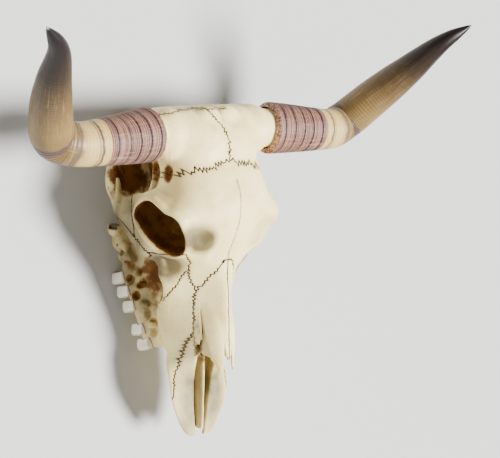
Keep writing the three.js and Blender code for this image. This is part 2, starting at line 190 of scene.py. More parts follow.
def join(field, other, blend):
    h = np.clip(0.5 + 0.5 * (other - field) / blend, 0, 1)
    return other + (field - other) * h - blend * h * (1 - h)


def cut(field, other, blend):
    return -join(-field, other, blend)


def turned(angles):
    rx, ry, rz = [Matrix.Rotation(a, 3, axis) for a, axis in zip(angles, "XYZ")]
    return np.array(rz @ ry @ rx)


def lump(field, centre, radii, blend, turn=(0, 0, 0), carve=False, mask=None, rough=0.0):
    """Adds an ellipsoid to the field, or carves it out, and marks the carved skin in mask."""
    reach = max(radii) + blend + ROOM
    low = [max(int(np.searchsorted(g, c - reach)), 0) for g, c in zip((GX, GY, GZ), centre)]
    high = [int(np.searchsorted(g, c + reach)) for g, c in zip((GX, GY, GZ), centre)]
    block = tuple(slice(a, b) for a, b in zip(low, high))
    x = GX[block[0]][:, None, None] - centre[0]
    y = GY[block[1]][None, :, None] - centre[1]
    z = GZ[block[2]][None, None, :] - centre[2]
    axes = turned(turn)
    local = [axes[0, k] * x + axes[1, k] * y + axes[2, k] * z for k in range(3)]
    k0 = np.sqrt(sum((p / r) ** 2 for p, r in zip(local, radii)))
    k1 = np.sqrt(sum((p / r ** 2) ** 2 for p, r in zip(local, radii)))
    shape = (k0 * (k0 - 1) / np.maximum(k1, 1e-6)).astype(np.float32)
    if rough:
        shape += rough * ripple(x + centre[0], y + centre[1], z + centre[2], ROUGH_SWELL)
    if carve:
        field[block] = cut(field[block], shape, blend)
        if mask is not None:
            mask[block] = np.minimum(mask[block], shape)
    else:
        field[block] = join(field[block], shape, blend)


def ripple(x, y, z, scale):
    """Gentle uneven swell from a few crossed waves, the same on every run."""
    waves = [(1.0, 0.3, 0.5, 0.0), (-0.4, 1.1, 0.2, 1.7), (0.5, -0.6, 1.0, 4.1),
             (1.7, 1.3, -0.9, 2.2), (-1.2, 1.9, 1.6, 5.0)]
    total = 0
    for a, b, c, phase in waves:
        total = total + np.sin((a * x + b * y + c * z) * 2 * np.pi / scale + phase)
    return (total / len(waves)).astype(np.float32)


# %% [markdown]
# The roof of the skull is one long loft from the poll to the front of the face. Each station is a
# cross-section: the midline, the shoulder, the edge, the side and the underside.

# %% Skull roof, brain case and tooth-bearing bone
POLL_Y = 78
NASAL_ROOT_Y = -152
NASAL_TIP_Y = -325
SNOUT_TIP_Y = -438
FOREHEAD_Z = 24
NASAL_WIDTH = 36
PALATE_WIDTH = 33

ROOF = [
    (POLL_Y, (0, -60), (45, -60), (84, -68), (86, -80), (50, -96), (0, -98)),
    (68, (0, -30), (48, -31), (90, -50), (94, -72), (60, -105), (0, -108)),
    (45, (0, -7), (48, -10), (88, -34), (92, -72), (60, -105), (0, -110)),
    (20, (0, 0), (46, -5), (82, -29), (90, -75), (60, -100), (0, -108)),
    (0, (0, 0), (46, -4), (76, -28), (86, -78), (58, -98), (0, -105)),
    (-25, (0, 13), (50, 6), (80, -22), (86, -80), (56, -98), (0, -105)),
    (-58, (0, FOREHEAD_Z), (54, 14), (90, -16), (98, -78), (60, -98), (0, -105)),
    (-84, (0, FOREHEAD_Z), (56, 15), (101, -14), (104, -78), (62, -100), (0, -106)),
    (-115, (0, 11), (52, 4), (90, -26), (98, -75), (62, -103), (0, -108)),
    (-145, (0, -3), (42, -12), (80, -50), (84, -75), (60, -105), (0, -112)),
    (-175, (0, -5), (36, -32), (75, -69), (72, -84), (50, -105), (0, -114)),
    (-205, (0, -4), (35, -40), (70, -84), (62, -94), (46, -108), (0, -116)),
    (-250, (0, -3), (34, -42), (60, -103), (51, -110), (38, -114), (0, -116)),
    (-302, (0, -2), (31, -44), (47, -99), (40, -108), (28, -110), (0, -110)),
]
BRAINCASE = [
    (48, (0, -60), (50, -80), (56, -120), (46, -165), (0, -180)),
    (-40, (0, -60), (50, -80), (52, -115), (36, -148), (0, -164)),
    (-100, (0, -60), (44, -80), (44, -112), (30, -142), (0, -154)),
    (-150, (0, -70), (34, -85), (34, -112), (26, -136), (0, -144)),
]
TOOTH_ROW = [
    (-140, (0, -100), (40, -108), (56, -140), (62, -170), (46, -176), (34, -150), (0, -146)),
    (-170, (0, -105), (46, -112), (60, -144), (71, -178), (50, -184), (PALATE_WIDTH, -158),
     (0, -150)),
    (-205, (0, -105), (44, -114), (59, -144), (70, -172), (50, -178), (PALATE_WIDTH, -154),
     (0, -146)),
    (-250, (0, -105), (38, -112), (54, -134), (63, -156), (46, -160), (28, -140), (0, -134)),
    (-300, (0, -98), (32, -104), (44, -122), (54, -142), (38, -144), (20, -126), (0, -118)),
]
skull = join(loft(ROOF), loft(BRAINCASE), 10)
skull = join(skull, loft(TOOTH_ROW), 9)
print("roof field range:", float(skull.min()), float(skull.max()))

# %% [markdown]
# The back of the head is a wall that carries the neck: two round condyles beside the opening for
# the spinal cord, and two long jugular processes on which the skull rests.

# %% Back and base of the skull
CORNER = 0.55                            # how square the wall's sections are


def squared(wave, power):
    return np.sign(wave) * np.abs(wave) ** power


def wall_ring(z, front, back, half, sides=64):
    angle = circle(sides)
    y = (front + back) / 2 + (back - front) / 2 * squared(np.sin(angle), CORNER)
    return np.stack([half * squared(np.cos(angle), CORNER), y, np.full(sides, float(z))], 1)


WALL = [(-62, 36, 74, 84), (-80, 30, 76, 86), (-110, 18, 66, 79), (-165, 0, 54, 58),
        (-206, -6, 48, 32)]
skull = join(skull, field_of(through([wall_ring(*row) for row in WALL], 60)), 9)
keel = [(0, 40, -196), (0, -20, -176), (0, -110, -150)]
skull = join(skull, bar(keel, 15, 22, (1, 0, 0)), 8)
jugular = [(-56, 30, -160), (-54, 40, -196), (-49, 45, -222), (-46, 46, -246)]
skull = join(skull, bar(jugular, lambda t: 17 - 9 * t, lambda t: 13 - 6 * t, (0, 1, 0)), 6)
lump(skull, (-26, 36, -192), (17, 24, 22), 5, (0.3, 0, 0.2))     # condyle
lump(skull, (-44, 0, -178), (15, 18, 16), 5)
print("back of the skull joined")

# %% [markdown]
# An eye socket is a bowl inside a round lip. The lip follows a closed line; the bowl is the same
# outline carried inwards and closed.

# %% Eye sockets, cheek bars and horn cores
SOCKET_EDGE = [(-71, -134, -24), (-77, -116, -11), (-86, -100, -5), (-92, -87, -5),
               (-98, -79, -11), (-104, -74, -23), (-107, -65, -37), (-109, -58, -54),
               (-113, -64, -71), (-114, -82, -81), (-104, -117, -68), (-95, -132, -55),
               (-81, -138, -38)]
SOCKET_INWARD = np.array([0.9, 0.3, -0.25])
SOCKET_INWARD /= np.linalg.norm(SOCKET_INWARD)
LIP_RADIUS = 3.2
socket_outline = spline(SOCKET_EDGE, steps(96, True), True)
socket_centre = socket_outline.mean(0)


def socket_at(depth, share):
    """The socket's outline, carried inwards and scaled about its centre."""
    return socket_centre + (socket_outline - socket_centre) * share + SOCKET_INWARD * depth


def socket_bowl(rows, spans=60):
    places = np.linspace(0, len(rows) - 1, spans)
    depths, shares = [np.interp(places, range(len(rows)), column) for column in zip(*rows)]
    return field_of(socket_at(depths[:, None, None], shares[:, None, None]))


socket_hollow = socket_bowl([(-45, 1.5), (-2, 1.0), (20, 0.96), (38, 0.76), (46, 0.5), (49, 0.2)])
socket_wall = socket_bowl([(-4, 1.08), (12, 1.22), (58, 0.6)])
lip_line = socket_at(1.5, 1.06)
lip = bar(np.vstack([lip_line, lip_line[:2]]), LIP_RADIUS, LIP_RADIUS, SOCKET_INWARD, 140, 16)
skull = join(skull, socket_wall, 16)
skull = join(skull, lip, 8)

CHEEK_THICK = 6.5
cheek_line = [(-58, 22, -152), (-86, 8, -164), (-100, -20, -160), (-102, -64, -148),
              (-101, -98, -116), (-96, -130, -88), (-84, -152, -64), (-66, -188, -82)]


def cheek_height(t):
    return 9 + 10 * np.exp(-((t - 0.6) / 0.2) ** 2) - 5 * t ** 4


def core_radius(t):
    return 30 + 5 * (1 - t) ** 2


skull = join(skull, bar(cheek_line, CHEEK_THICK, cheek_height, (1, 0, 0)), 6)
lump(skull, (-102, -74, -104), (9, 26, 44), 7)           # post behind the socket
lump(skull, (-58, -36, -170), (48, 50, 19), 7)           # floor of the temple
lump(skull, (-70, 10, -156), (30, 20, 16), 6)
core_line = [(-40, 40, -54), (-80, 41, -50), (-112, 41, -49), (-132, 40, -47)]
skull = join(skull, bar(core_line, core_radius, core_radius, (0, 1, 0)), 14)
print("eye socket outline across:", np.round(np.ptp(socket_outline, axis=0), 1))

# %% [markdown]
# Behind the last tooth the jaw swells into a rounded tuber, and a plate of bone runs from there up
# to the brain case.

# %% Tuber, plate and premaxillae
lump(skull, (-63, -134, -186), (18, 21, 18), 5, rough=0.6)
lump(skull, (-66, -157, -170), (15, 14, 15), 5, rough=0.6)
plate_line = [(-30, -96, -130), (-44, -112, -158), (-52, -130, -180)]
skull = join(skull, bar(plate_line, 17, 10, (0, 1, 0)), 6)

PREMAXILLA = [(-250, 27, 38, -50, -56, -72), (-280, 26, 43, -48, -57, -86),
              (-306, 23, 50, -52, -60, -93), (-322, 20, 57, -60, -65, -85),
              (-346, 17, 57, -67, -69, -78), (-368, 15, 56, -70, -69, -75),
              (-404, 12, 44, -73, -71, -75), (-420, 10, 36, -74, -72, -76),
              (-433, 8, 26, -74, -72.5, -75), (SNOUT_TIP_Y, 6, 16, -73, -73, -74)]


def blade_ring(y, inner, outer, high, crest, low):
    middle = inner * 0.45 + outer * 0.55
    deep = (outer - inner) * 0.3
    corners = [(-inner, y, high), (-middle, y, crest), (-outer, y, low),
               (-outer + 3, y, low - 4), (-middle, y, low - 4 - deep), (-inner - 1, y, high - 7)]
    return spline(corners, steps(48, True), True)


blade = field_of(through([blade_ring(*row) for row in PREMAXILLA], 110))
SHELF = [(-300, 42, -98, -108), (-340, 36, -86, -96), (-385, 30, -82, -90),
         (-425, 16, -78, -84)]
shelf = field_of(through([[(-1.2, y, high + 2), (-outer, y, high), (-outer, y, low),
                           (-1.2, y, low)] for y, outer, high, low in SHELF], 60))
vomer_line = [(0, -262, -80), (0, -330, -78), (0, -400, -78), (0, -427, -78)]
vomer = bar(vomer_line, lambda t: 5.4 - t, lambda t: 18 - 7 * t, (1, 0, 0))
NASAL_PLATE = [
    (NASAL_ROOT_Y - 60, (0, -14), (17, -20), (32, -48), (31, -54), (15, -27), (0, -21)),
    (-270, (0, -3), (17, -9), (33, -40), (32, -46), (15, -15), (0, -9)),
    (-300, (0, -2), (15, -8), (31, -42), (30, -47), (13, -13), (0, -7)),
    (NASAL_TIP_Y - 1, (0, -3), (14, -8), (26, -34), (25, -38), (12, -12), (0, -7)),
]
skull = join(skull, blade, 4)
skull = join(skull, shelf, 3)
skull = join(skull, vomer, 2)
skull = join(skull, loft(NASAL_PLATE), 2)
print("front of the face joined")

# %% [markdown]
# Weathered bone is never flat. Swells of three sizes move the whole skin by fractions of a
# millimetre, the last of them drawn out into ridges down the face. A handful of lumps and dents
# then give each bone its own relief.

# %% Relief of the bones
X3, Y3, Z3 = GX[:, None, None], GY[None, :, None], GZ[None, None, :]
BROAD, NARROW = 61.0, 23.0               # millimetres from swell to swell
RIDGE_DRAW = (1.6, 0.3, 0.4)             # how the ridges are squeezed across and drawn out
SHRINK = 0.3                             # keeps the swollen skin within the solid's outline
skull += 0.55 * ripple(X3, Y3, Z3, BROAD) + 0.22 * ripple(X3, Y3, Z3, NARROW)
skull += SHRINK + 0.8 * ripple(*[g * k for g, k in zip((X3, Y3, Z3), RIDGE_DRAW)], BROAD)
bumps = [
    ((-84, -90, -24), (11, 22, 12), 12),     # brow that runs into the socket's lip
    ((-18, 62, -30), (22, 18, 14), 8),
    ((-84, 40, -50), (20, 36, 34), 12),      # boss round the horn core
    ((-80, -116, -186), (9, 12, 12), 5),     # knobs of the tuber
    ((-76, -142, -166), (8, 9, 9), 4),
    ((-70, -160, -158), (9, 8, 9), 4),
    ((-63, -182, -150), (8, 7, 9), 4),       # bars between the holes above the molars
    ((-62, -206, -156), (7, 6, 12), 4),
    ((-58, -232, -140), (7, 7, 12), 4),
    ((-54, -262, -128), (6, 8, 12), 4),
]
for centre, radii, blend in bumps:
    lump(skull, centre, radii, blend, rough=0.5)
dents = [
    ((-72, -113, 24), (34, 25, 25), 12),     # dent beside the socket
    ((-119, -88, -104), (5, 24, 7), 6),      # groove on the post behind the socket
    ((-30, -158, 12), (12, 22, 18), 10),
]
for centre, radii, blend in dents:
    lump(skull, centre, radii, blend, carve=True)
print("bumps and dents:", len(bumps), len(dents))

# %% [markdown]
# Openings are cut last, so that their lips stay crisp. Each cut also leaves its distance in a
# second field, which later tells the material where old brown dirt has settled.

# %% Openings
stain = np.full(SHAPE, OPEN_AIR, np.float32)     # distance to the nearest carved hollow
NASAL_PASSAGE = [
    (-190, (0, -24), (14, -40), (18, -62), (12, -82), (0, -86)),
    (-250, (0, -14), (17, -34), (21, -62), (18, -86), (0, -91)),
    (-306, (0, -10), (19, -36), (21, -62), (22, -90), (0, -95)),
]
passage = loft(NASAL_PASSAGE)
partition = 4.8 - np.abs(X3) + 0 * Y3 - np.maximum(Z3 + 70, 0)
passage = np.maximum(passage, partition).astype(np.float32)
spinal = bar([(0, 6, -166), (0, 46, -170), (0, 90, -174)], 19, 15, (1, 0, 0))
skull = cut(skull, passage, 2.0)
for hollow in (socket_hollow, spinal):
    skull = cut(skull, hollow, 3.0)
    stain = np.minimum(stain, hollow)
pits = [
    ((-88, -30, -116), (38, 30, 34), (0, 0.2, 0), 3),      # gap behind the socket
    ((-108, -36, -146), (7, 9, 5), (0, 0, 0.2), 2),        # slot beside its hooked edge
    ((-96, -20, -70), (22, 22, 10), (0, 0, 0), 3),         # slit under the horn
    ((-91, -15, -41), (13, 14, 8), (0, 0, 0), 3),          # pit beside it
    ((-76, -186, -106), (26, 42, 29), (-0.1, 0, 0.2), 4),  # hollow under the cheek
    ((-58, -232, -116), (13, 30, 8), (-0.15, 0.3, 0.1), 4),
    ((-71, -195, -160), (13, 9, 5), (0.5, 0, 0), 3),       # holes above the molars
    ((-66, -219, -152), (12, 8, 6), (-0.3, 0, 0), 3),
    ((-60, -196, -140), (12, 5, 7), (0.4, 0, 0.3), 3),
    ((-58, -246, -134), (9, 9, 6), (0.2, 0, 0), 3),
    ((-52, -276, -126), (8, 10, 6), (0.2, 0, 0), 3),
    ((-82, -150, -170), (10, 5, 7), (-0.4, 0, -0.3), 3),   # pockets in the tuber
    ((-74, -170, -158), (9, 6, 6), (0.3, 0, 0), 3),
    ((-92, -116, -152), (12, 22, 6), (0.5, 0, 0), 4),      # gap between cheek bar and tuber
    ((-57, -178, -72), (5, 4, 4), (0, 0, 0), 1.5),
    ((0, -138, -128), (17, 30, 13), (0, 0, 0), 4),         # back of the nose
]
for centre, radii, turn, blend in pits:
    lump(skull, centre, radii, blend, turn, carve=True, mask=stain, rough=0.8)

hook_line = [(-109, -70, -134), (-107, -54, -137), (-105, -40, -140), (-104, -31, -143)]


def hook_radius(t):
    return 6 - 3.5 * t


hook = bar(hook_line, hook_radius, hook_radius, (1, 0, 0))
skull = join(skull, hook, 4)             # hooked process in the gap behind the socket

# Fine pores lie thickest on the rough bone behind the teeth.
rng = np.random.default_rng(11)
PORE_BEDS = [((-76, -134, -184), 17, 34), ((-68, -160, -162), 15, 26), ((-60, -196, -140), 18, 16),
             ((-70, 20, -196), 26, 30)]
for bed, spread, count in PORE_BEDS:
    for centre in rng.normal(bed, spread / 2, (count, 3)):
        size = rng.uniform(0.9, 2.2)
        lump(skull, centre, (size, size * 1.4, size), 0.8, carve=True, mask=stain)
print("pits:", len(pits), "pores:", sum(count for *_, count in PORE_BEDS))

# %% [markdown]
# The lower ends are cut level where they meet the ground. Then the half is mirrored into the
# whole skull.

# %% The whole skull
REST_LEVEL = -233.0                      # the ground below the crossing of the seams, tilted
ground = REST_LEVEL - (Y3 * math.sin(REST_TILT) + Z3 * math.cos(REST_TILT)) + 0 * X3
skull = np.maximum(skull, ground).astype(np.float32)


def whole(half):
    return np.concatenate([half, half[-2::-1]], axis=0)


skull = whole(skull)
stain = whole(stain)
WIDE = (np.arange(LOW[0], -LOW[0] + 1) * VOXEL).astype(np.float32)
print("whole grid:", skull.shape)

# %% [markdown]
# Dirt follows the shape. A blurred copy of the solid finds the hollows: a point of the skin that
# has much bone around it lies in one, and a point that has little stands proud.

# %% Hollows
def box_blur(values, reach):
    for axis in range(3):
        pad = [(0, 0)] * 3
        pad[axis] = (reach + 1, reach)
        total = np.cumsum(np.pad(values, pad, mode="edge"), axis=axis, dtype=np.float32)
        low = [slice(None)] * 3
        high = [slice(None)] * 3
        low[axis] = slice(0, -(2 * reach + 1))
        high[axis] = slice(2 * reach + 1, None)
        values = (total[tuple(high)] - total[tuple(low)]) / (2 * reach + 1)
    return values


COARSE = 2                               # the blurs use every second voxel
EDGE = 1.001                             # keeps a look-up inside the last cell of a grid
solid = np.clip(0.5 - skull[::COARSE, ::COARSE, ::COARSE] / (VOXEL * COARSE), 0, 1)
near_bone = box_blur(box_blur(solid, max(1, round(3.0 / VOXEL / COARSE))), 1)
wide_bone = box_blur(box_blur(solid, round(9.0 / VOXEL / COARSE)), round(7.0 / VOXEL / COARSE))
print("blurred solids:", near_bone.shape)


def sample(values, points, spacing=VOXEL, corner=LOW):
    """Linear look-up of a plan or a grid at points in millimetres."""
    place = points / spacing - corner * VOXEL / spacing
    place = np.clip(place, 0, np.array(values.shape) - EDGE)
    base = place.astype(int)
    w = (place - base).astype(np.float32)
    total = np.zeros(len(points), np.float32)
    for step in np.ndindex(*[2] * values.ndim):
        step = np.array(step[::-1])
        share = np.prod(np.where(step, w, 1 - w), axis=1)
        total += share * values[tuple((base + step).T)]
    return total


# %% [markdown]
# Seams between skull bones wander in small stitches. A seam is a line on a plan of the skull,
# seen from above or from the side; seeded random steps to left and right turn it into stitches.
# The signed distance to the closed outline says which bone a point belongs to.

# %% Seam outlines
FAR = 600.0
STITCH_STEP = 2.7                        # millimetres along the seam for half a stitch


def stitched(outline, seed):
    """outline: (x, y, stitch) rows; stitch is the swing of the edge that starts at the row."""
    draw = np.random.default_rng(seed)
    points = []
    for row, following in zip(outline, outline[1:] + outline[:1]):
        start, end = np.array(row[:2], dtype=float), np.array(following[:2], dtype=float)
        swing = row[2] if len(row) > 2 else 0
        length = np.linalg.norm(end - start)
        count = max(1, int(length / STITCH_STEP)) if swing else 1
        along = (end - start) / length
        across = np.array([-along[1], along[0]])
        points.append(start)
        wander = 0.0
        for step in range(1, count):
            wander = 0.8 * wander + draw.normal(0, 0.35)
            side = (swing * draw.uniform(0.3, 1.25) * (1 if step % 2 else -1)
                    + wander * swing * 0.6)
            shift = draw.uniform(-0.45, 0.45) * STITCH_STEP
            points.append(start + along * (length * step / count + shift) + across * side)
    return np.array(points)


def outline_map(points, first, second):
    """Signed distance to a closed outline over the plan first x second, negative inside."""
    px, py = first[:, None].astype(np.float32), second[None, :].astype(np.float32)
    nearest = np.full((len(first), len(second)), FAR ** 2, np.float32)
    inside = np.zeros(nearest.shape, bool)
    for (ax, ay), (bx, by) in zip(points, np.roll(points, -1, 0)):
        ex, ey = bx - ax, by - ay
        along = np.clip(((px - ax) * ex + (py - ay) * ey) / (ex * ex + ey * ey), 0, 1)
        np.minimum(nearest, (px - ax - along * ex) ** 2 + (py - ay - along * ey) ** 2,
                   out=nearest)
        if ay != by:
            crosses = ((py >= min(ay, by)) & (py < max(ay, by))
                       & (px < ax + (py - ay) / (by - ay) * ex))
            inside ^= crosses
    return np.where(inside, -1, 1) * np.sqrt(nearest)


class Region:
    """A part of space that belongs to one bone; value() is negative inside."""

    def __init__(self, plane, plan, low=-FAR, high=FAR, side=1):
        self.plane, self.map, self.low, self.high, self.side = plane, plan, low, high, side

    def value(self, points):
        axes = slice(0, 2) if self.plane == "above" else slice(1, 3)
        plan = sample(self.map, points[:, axes], VOXEL, LOW[axes])
        return self.limited(plan, *points.T)

    def grid(self):
        plan = self.map[:, :, None] if self.plane == "above" else self.map[None]
        return self.limited(plan, WIDE[:, None, None], Y3, Z3)

    def limited(self, plan, x, y, z):
        if self.plane == "side":
            wave = 1.5 * np.sin(y * 0.35) + 1.0 * np.sin(z * 0.9 + y * 0.5)
            return np.maximum(plan, self.low + wave - x * self.side)
        wave = 1.2 * np.sin(x * 0.9) * np.sin(y * 0.8 + 1) + 0.8 * np.sin((x + y) * 1.7)
        return np.maximum(plan, np.maximum(self.low - z, z - self.high) + wave)


def outlined(plane, outline, low=-FAR, high=FAR, side=1, seed=0):
    points = stitched(outline, seed)
    if plane == "side":
        return Region(plane, outline_map(points, GY, GZ), low, high, side)
    points[:, 0] *= side
    return Region(plane, outline_map(points, WIDE, GY), low, high, side)


class Union:
    def __init__(self, *regions):
        self.regions = regions

    def value(self, points):
        return np.minimum.reduce([region.value(points) for region in self.regions])

    def grid(self):
        return np.minimum.reduce([region.grid() for region in self.regions])


print("stitch step:", STITCH_STEP)

# %% [markdown]
# Bones are taken out of the solid one after another, the smaller ones first. What has been taken
# is gone, so each later outline may reach under its neighbours and only its free edges matter.
# Right and left bones share an outline but not its stitches.

# %% The bones' outlines
BASE_Z = -100
RIGHT, LEFT = -1, 1
SIDES = ((RIGHT, "right"), (LEFT, "left"))
MIDLINE = {RIGHT: 0, LEFT: 10}           # the second bone of a pair reaches over the midline


def zygomatic(side):
    outline = [(-80, -176, 1.5), (-97, -124, 2.4), (-143, -70), (-150, -84), (-150, -114),
               (-122, -146), (-104, -190)]
    return outlined("side", outline, low=72, side=side, seed=21 + side)


def temporal(side):
    outline = [(-115, -190), (-12, -190, 1.5), (-12, BASE_Z), (-115, BASE_Z)]
    return outlined("side", outline, low=84, side=side, seed=31 + side)


def nasal_bed(side):
    outline = [(MIDLINE[side], NASAL_ROOT_Y, 1.0), (-7, NASAL_ROOT_Y + 1, 2.4),
               (-NASAL_WIDTH, -199, 1.8), (-NASAL_WIDTH, -340), (MIDLINE[side], -340, 0.6)]
    if side == RIGHT:
        outline[-1] = (0, -340, 0)
        outline.append((0, -312, 0.7))
    return outlined("above", outline, low=-46, side=-side, seed=41 + side)


def nasal_shape(side):
    outline = [(10, NASAL_ROOT_Y + 30), (-60, NASAL_ROOT_Y + 30), (-60, -280),
               (-NASAL_WIDTH, -291), (-33.5, -287), (-31, -283), (-30, -276), (-29.6, -262),
               (-29.2, -222), (-27, -262), (-26, -276), (-24, -290), (-20, -305),
               (-15, -319), (-13, NASAL_TIP_Y), (-10.5, -320), (-8, -314), (-7.2, -280),
               (-4.6, -302), (-2.6, -299), (-1.5, -306), (10, -306)]
    return outlined("above", outline, side=-side)


def premaxilla_bed(side):
    wedge = [(-22, -306), (-24, -262), (-34, -264), (-36.5, -270, 1.8), (-41, -306)]
    front = [(MIDLINE[side], -500), (MIDLINE[side], -301), (-22, -301), (-41, -305, 1.8),
             (-50, -330, 1.8), (-54.5, -370, 1.2), (-80, -390), (-80, -500)]
    return Union(outlined("above", wedge, low=-72, side=-side, seed=51 + side),
                 outlined("above", front, low=-114, side=-side, seed=61 + side))


def poll(side):
    edge = [(0, 0, 3.0), (-12, -3, 5.6), (-66, -14, 4.6), (-88, -24, 1.2), (-160, -44), (-160, 120)]
    if side == RIGHT:
        outline = edge + [(-26, 120), (-26, 74, 1.8), (-7, 54, 3.0), (0, 30, 3.2)]
    else:
        outline = [(40, 0)] + edge + [(40, 120)]
    return outlined("above", outline, low=BASE_Z, side=-side, seed=71 + side)


def lacrimal(side):
    outline = [(-70, -139, 0.8), (-54, -153, 1.2), (-51, -165, 1.6), (-66, -218), (-82, -205),
               (-94, -166), (-130, -160), (-130, -139)]
    return outlined("above", outline, low=-84, side=-side, seed=81 + side)


def maxilla(side):
    outline = [(MIDLINE[side], -108), (-160, -108), (-160, -400), (MIDLINE[side], -400)]
    return outlined("above", outline, side=-side)


FRONTAL = [(160, 120), (-160, 120), (-160, -139), (-92, -139), (-84, -146), (-57, -165),
           (-51, -165, 1.5), (-NASAL_WIDTH, -199), (0, -190), (NASAL_WIDTH, -199, 1.5),
           (51, -165), (57, -165), (84, -146), (92, -139), (160, -139)]
VOMER = [(-6, -262), (6, -262), (6, -440), (-6, -440)]
OCCIPITAL = [(-160, -12, 1.5), (160, -12), (160, 160), (-160, 160)]


def pair(name, region, shape=None):
    return [(f"{name}_{side_name}", region(side), shape and shape(side))
            for side, side_name in SIDES]


bone_regions = [                         # name, region, shape of its free edges
    *pair("zygomatic", zygomatic), *pair("temporal", temporal),
    *pair("nasal", nasal_bed, nasal_shape),
    ("vomer", outlined("above", VOMER, low=-96, high=-55), None),
    *pair("premaxilla", premaxilla_bed), *pair("poll", poll), *pair("lacrimal", lacrimal),
    ("frontal", outlined("above", FRONTAL, low=BASE_Z, seed=91), None),
    *pair("maxilla", maxilla),
    ("occipital", outlined("above", OCCIPITAL, seed=92), None),
    ("skull_base", None, None)]
print("bones:", len(bone_regions))

# %% [markdown]
# Some seams have closed and are only scored into the surface: the one down the middle of the
# forehead and the one behind the right horn. They are shallow grooves pressed into the field.

# %% Scored lines
SCORES = [                               # stitch swing, depth, points on the plan from above
    (0.5, 0.5, [(1.2, -28), (1.7, -45), (-0.4, -81), (0.5, -115), (-0.8, -135), (0, -152)]),
    (1.0, 0.4, [(-104, 70), (-84, 73), (-60, 75), (-30, 76.5), (-6, 76.5), (12, 76.5)]),
]
SCORE_FLOOR = -100
SCORE_FADE = 10                          # a line fades out over this height above its floor
SCORE_WIDTH = 1.1
score_map = np.full((len(WIDE), len(GY)), FAR, np.float32)
for number, (swing, depth, line) in enumerate(SCORES):
    there = stitched([(x, y, swing) for x, y in line[:-1]] + [line[-1]], 100 + number)
    path = np.concatenate([there, there[-2:0:-1]])
    distance = np.abs(outline_map(path, WIDE, GY))
    skull += depth * (np.exp(-(distance / SCORE_WIDTH) ** 2)[:, :, None]
                      * np.clip((Z3 - SCORE_FLOOR) / SCORE_FADE, 0, 1))
    score_map = np.minimum(score_map, distance)
score_region = Region("above", score_map)
print("scored lines:", len(SCORES))

# %% [markdown]
# A bone's field becomes a mesh through the volume library, which spreads its faces evenly. Loose
# crumbs that a cut leaves are dropped. A bone with too many faces is thinned where it is
# flattest, so the whole model stays easy to handle.

# %% From fields to meshes
SEAM_GAP = 0.2                           # half the width of an open seam
MESH_BAND = 3.0                          # millimetres of distance that the mesher is shown
MOST_TRIANGLES = 170000                  # in one bone


def largest_part(points, quads):
    label = np.arange(len(points))
    edges = np.concatenate([quads[:, [k, (k + 1) % 4]] for k in range(4)])
    while True:
        low = np.minimum(label[edges[:, 0]], label[edges[:, 1]])
        before = label.copy()
        np.minimum.at(label, edges[:, 0], low)
        np.minimum.at(label, edges[:, 1], low)
        label = label[label]
        if np.array_equal(before, label):
            break
    names, counts = np.unique(label, return_counts=True)
    keep = label == names[counts.argmax()]
    quads = quads[keep[quads[:, 0]]]
    number = np.cumsum(keep) - 1
    return points[keep], number[quads]


def polygons_of(values):
    held = [np.flatnonzero((values < 0).any(axis=tuple(a for a in range(3) if a != axis)))
            for axis in range(3)]
    low = [max(int(h[0]) - 2, 0) for h in held]
    block = values[tuple(slice(a, int(h[-1]) + 3) for a, h in zip(low, held))]
    grid = openvdb.FloatGrid(MESH_BAND)
    block = np.clip(block, -MESH_BAND, MESH_BAND)
    grid.copyFromArray(np.ascontiguousarray(block, dtype=np.float32), ijk=(0, 0, 0), tolerance=0.0)
    points, triangles, quads = grid.convertToPolygons(isovalue=0.0, adaptivity=0.0)
    points, quads = largest_part(np.array(points, dtype=float), np.array(quads, dtype=int))
    return (points + np.array(low) + LOW) * VOXEL, quads


def linked(name, data):
    thing = bpy.data.objects.new(name, data)
    bpy.context.scene.collection.objects.link(thing)
    return thing


def make_piece(name, points, faces, attributes, node):
    """points in millimetres on the skull's axes; faces is a list of face arrays."""
    placed = to_frame(points)
    mesh = bpy.data.meshes.new(name)
    corners = np.concatenate([f.ravel() for f in faces])
    sizes = np.concatenate([np.full(len(f), f.shape[1]) for f in faces])
    mesh.vertices.add(len(placed))
    mesh.vertices.foreach_set("co", placed.astype(np.float32).ravel())
    mesh.loops.add(len(corners))
    mesh.loops.foreach_set("vertex_index", corners.astype(np.int32))
    mesh.polygons.add(len(sizes))
    starts = np.concatenate([[0], np.cumsum(sizes)[:-1]])
    mesh.polygons.foreach_set("loop_start", starts.astype(np.int32))
    mesh.polygons.foreach_set("use_smooth", np.ones(len(sizes), bool))
    mesh.update(calc_edges=True)
    for key, values in attributes.items():
        kind = "FLOAT_VECTOR" if np.ndim(values) == 2 else "FLOAT"
        layer = mesh.attributes.new(key, kind, "POINT")
        field = "vector" if kind == "FLOAT_VECTOR" else "value"
        layer.data.foreach_set(field, np.asarray(values, np.float32).ravel())
    piece = linked(name, mesh)
    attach(piece, "root")
    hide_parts(node)
    return piece


def triangles_in(piece):
    return sum(len(p.vertices) - 2 for p in piece.data.polygons)


def thin(piece):
    triangles = triangles_in(piece)
    if triangles <= MOST_TRIANGLES:
        return
    piece.modifiers.new("thin", "DECIMATE").ratio = MOST_TRIANGLES / triangles
    graph = bpy.context.evaluated_depsgraph_get()
    dense = piece.data
    piece.data = bpy.data.meshes.new_from_object(
        piece.evaluated_get(graph), preserve_all_data_layers=True, depsgraph=graph)
    piece.modifiers.clear()
    bpy.data.meshes.remove(dense)


def outward(points, quads):
    a, b, c, d = [points[quads[:, k]] for k in range(4)]
    volume = np.einsum("ij,ij->i", a, np.cross(b, c) + np.cross(c, d)).sum()
    return quads if volume > 0 else quads[:, ::-1]


print("most triangles in a bone:", MOST_TRIANGLES)
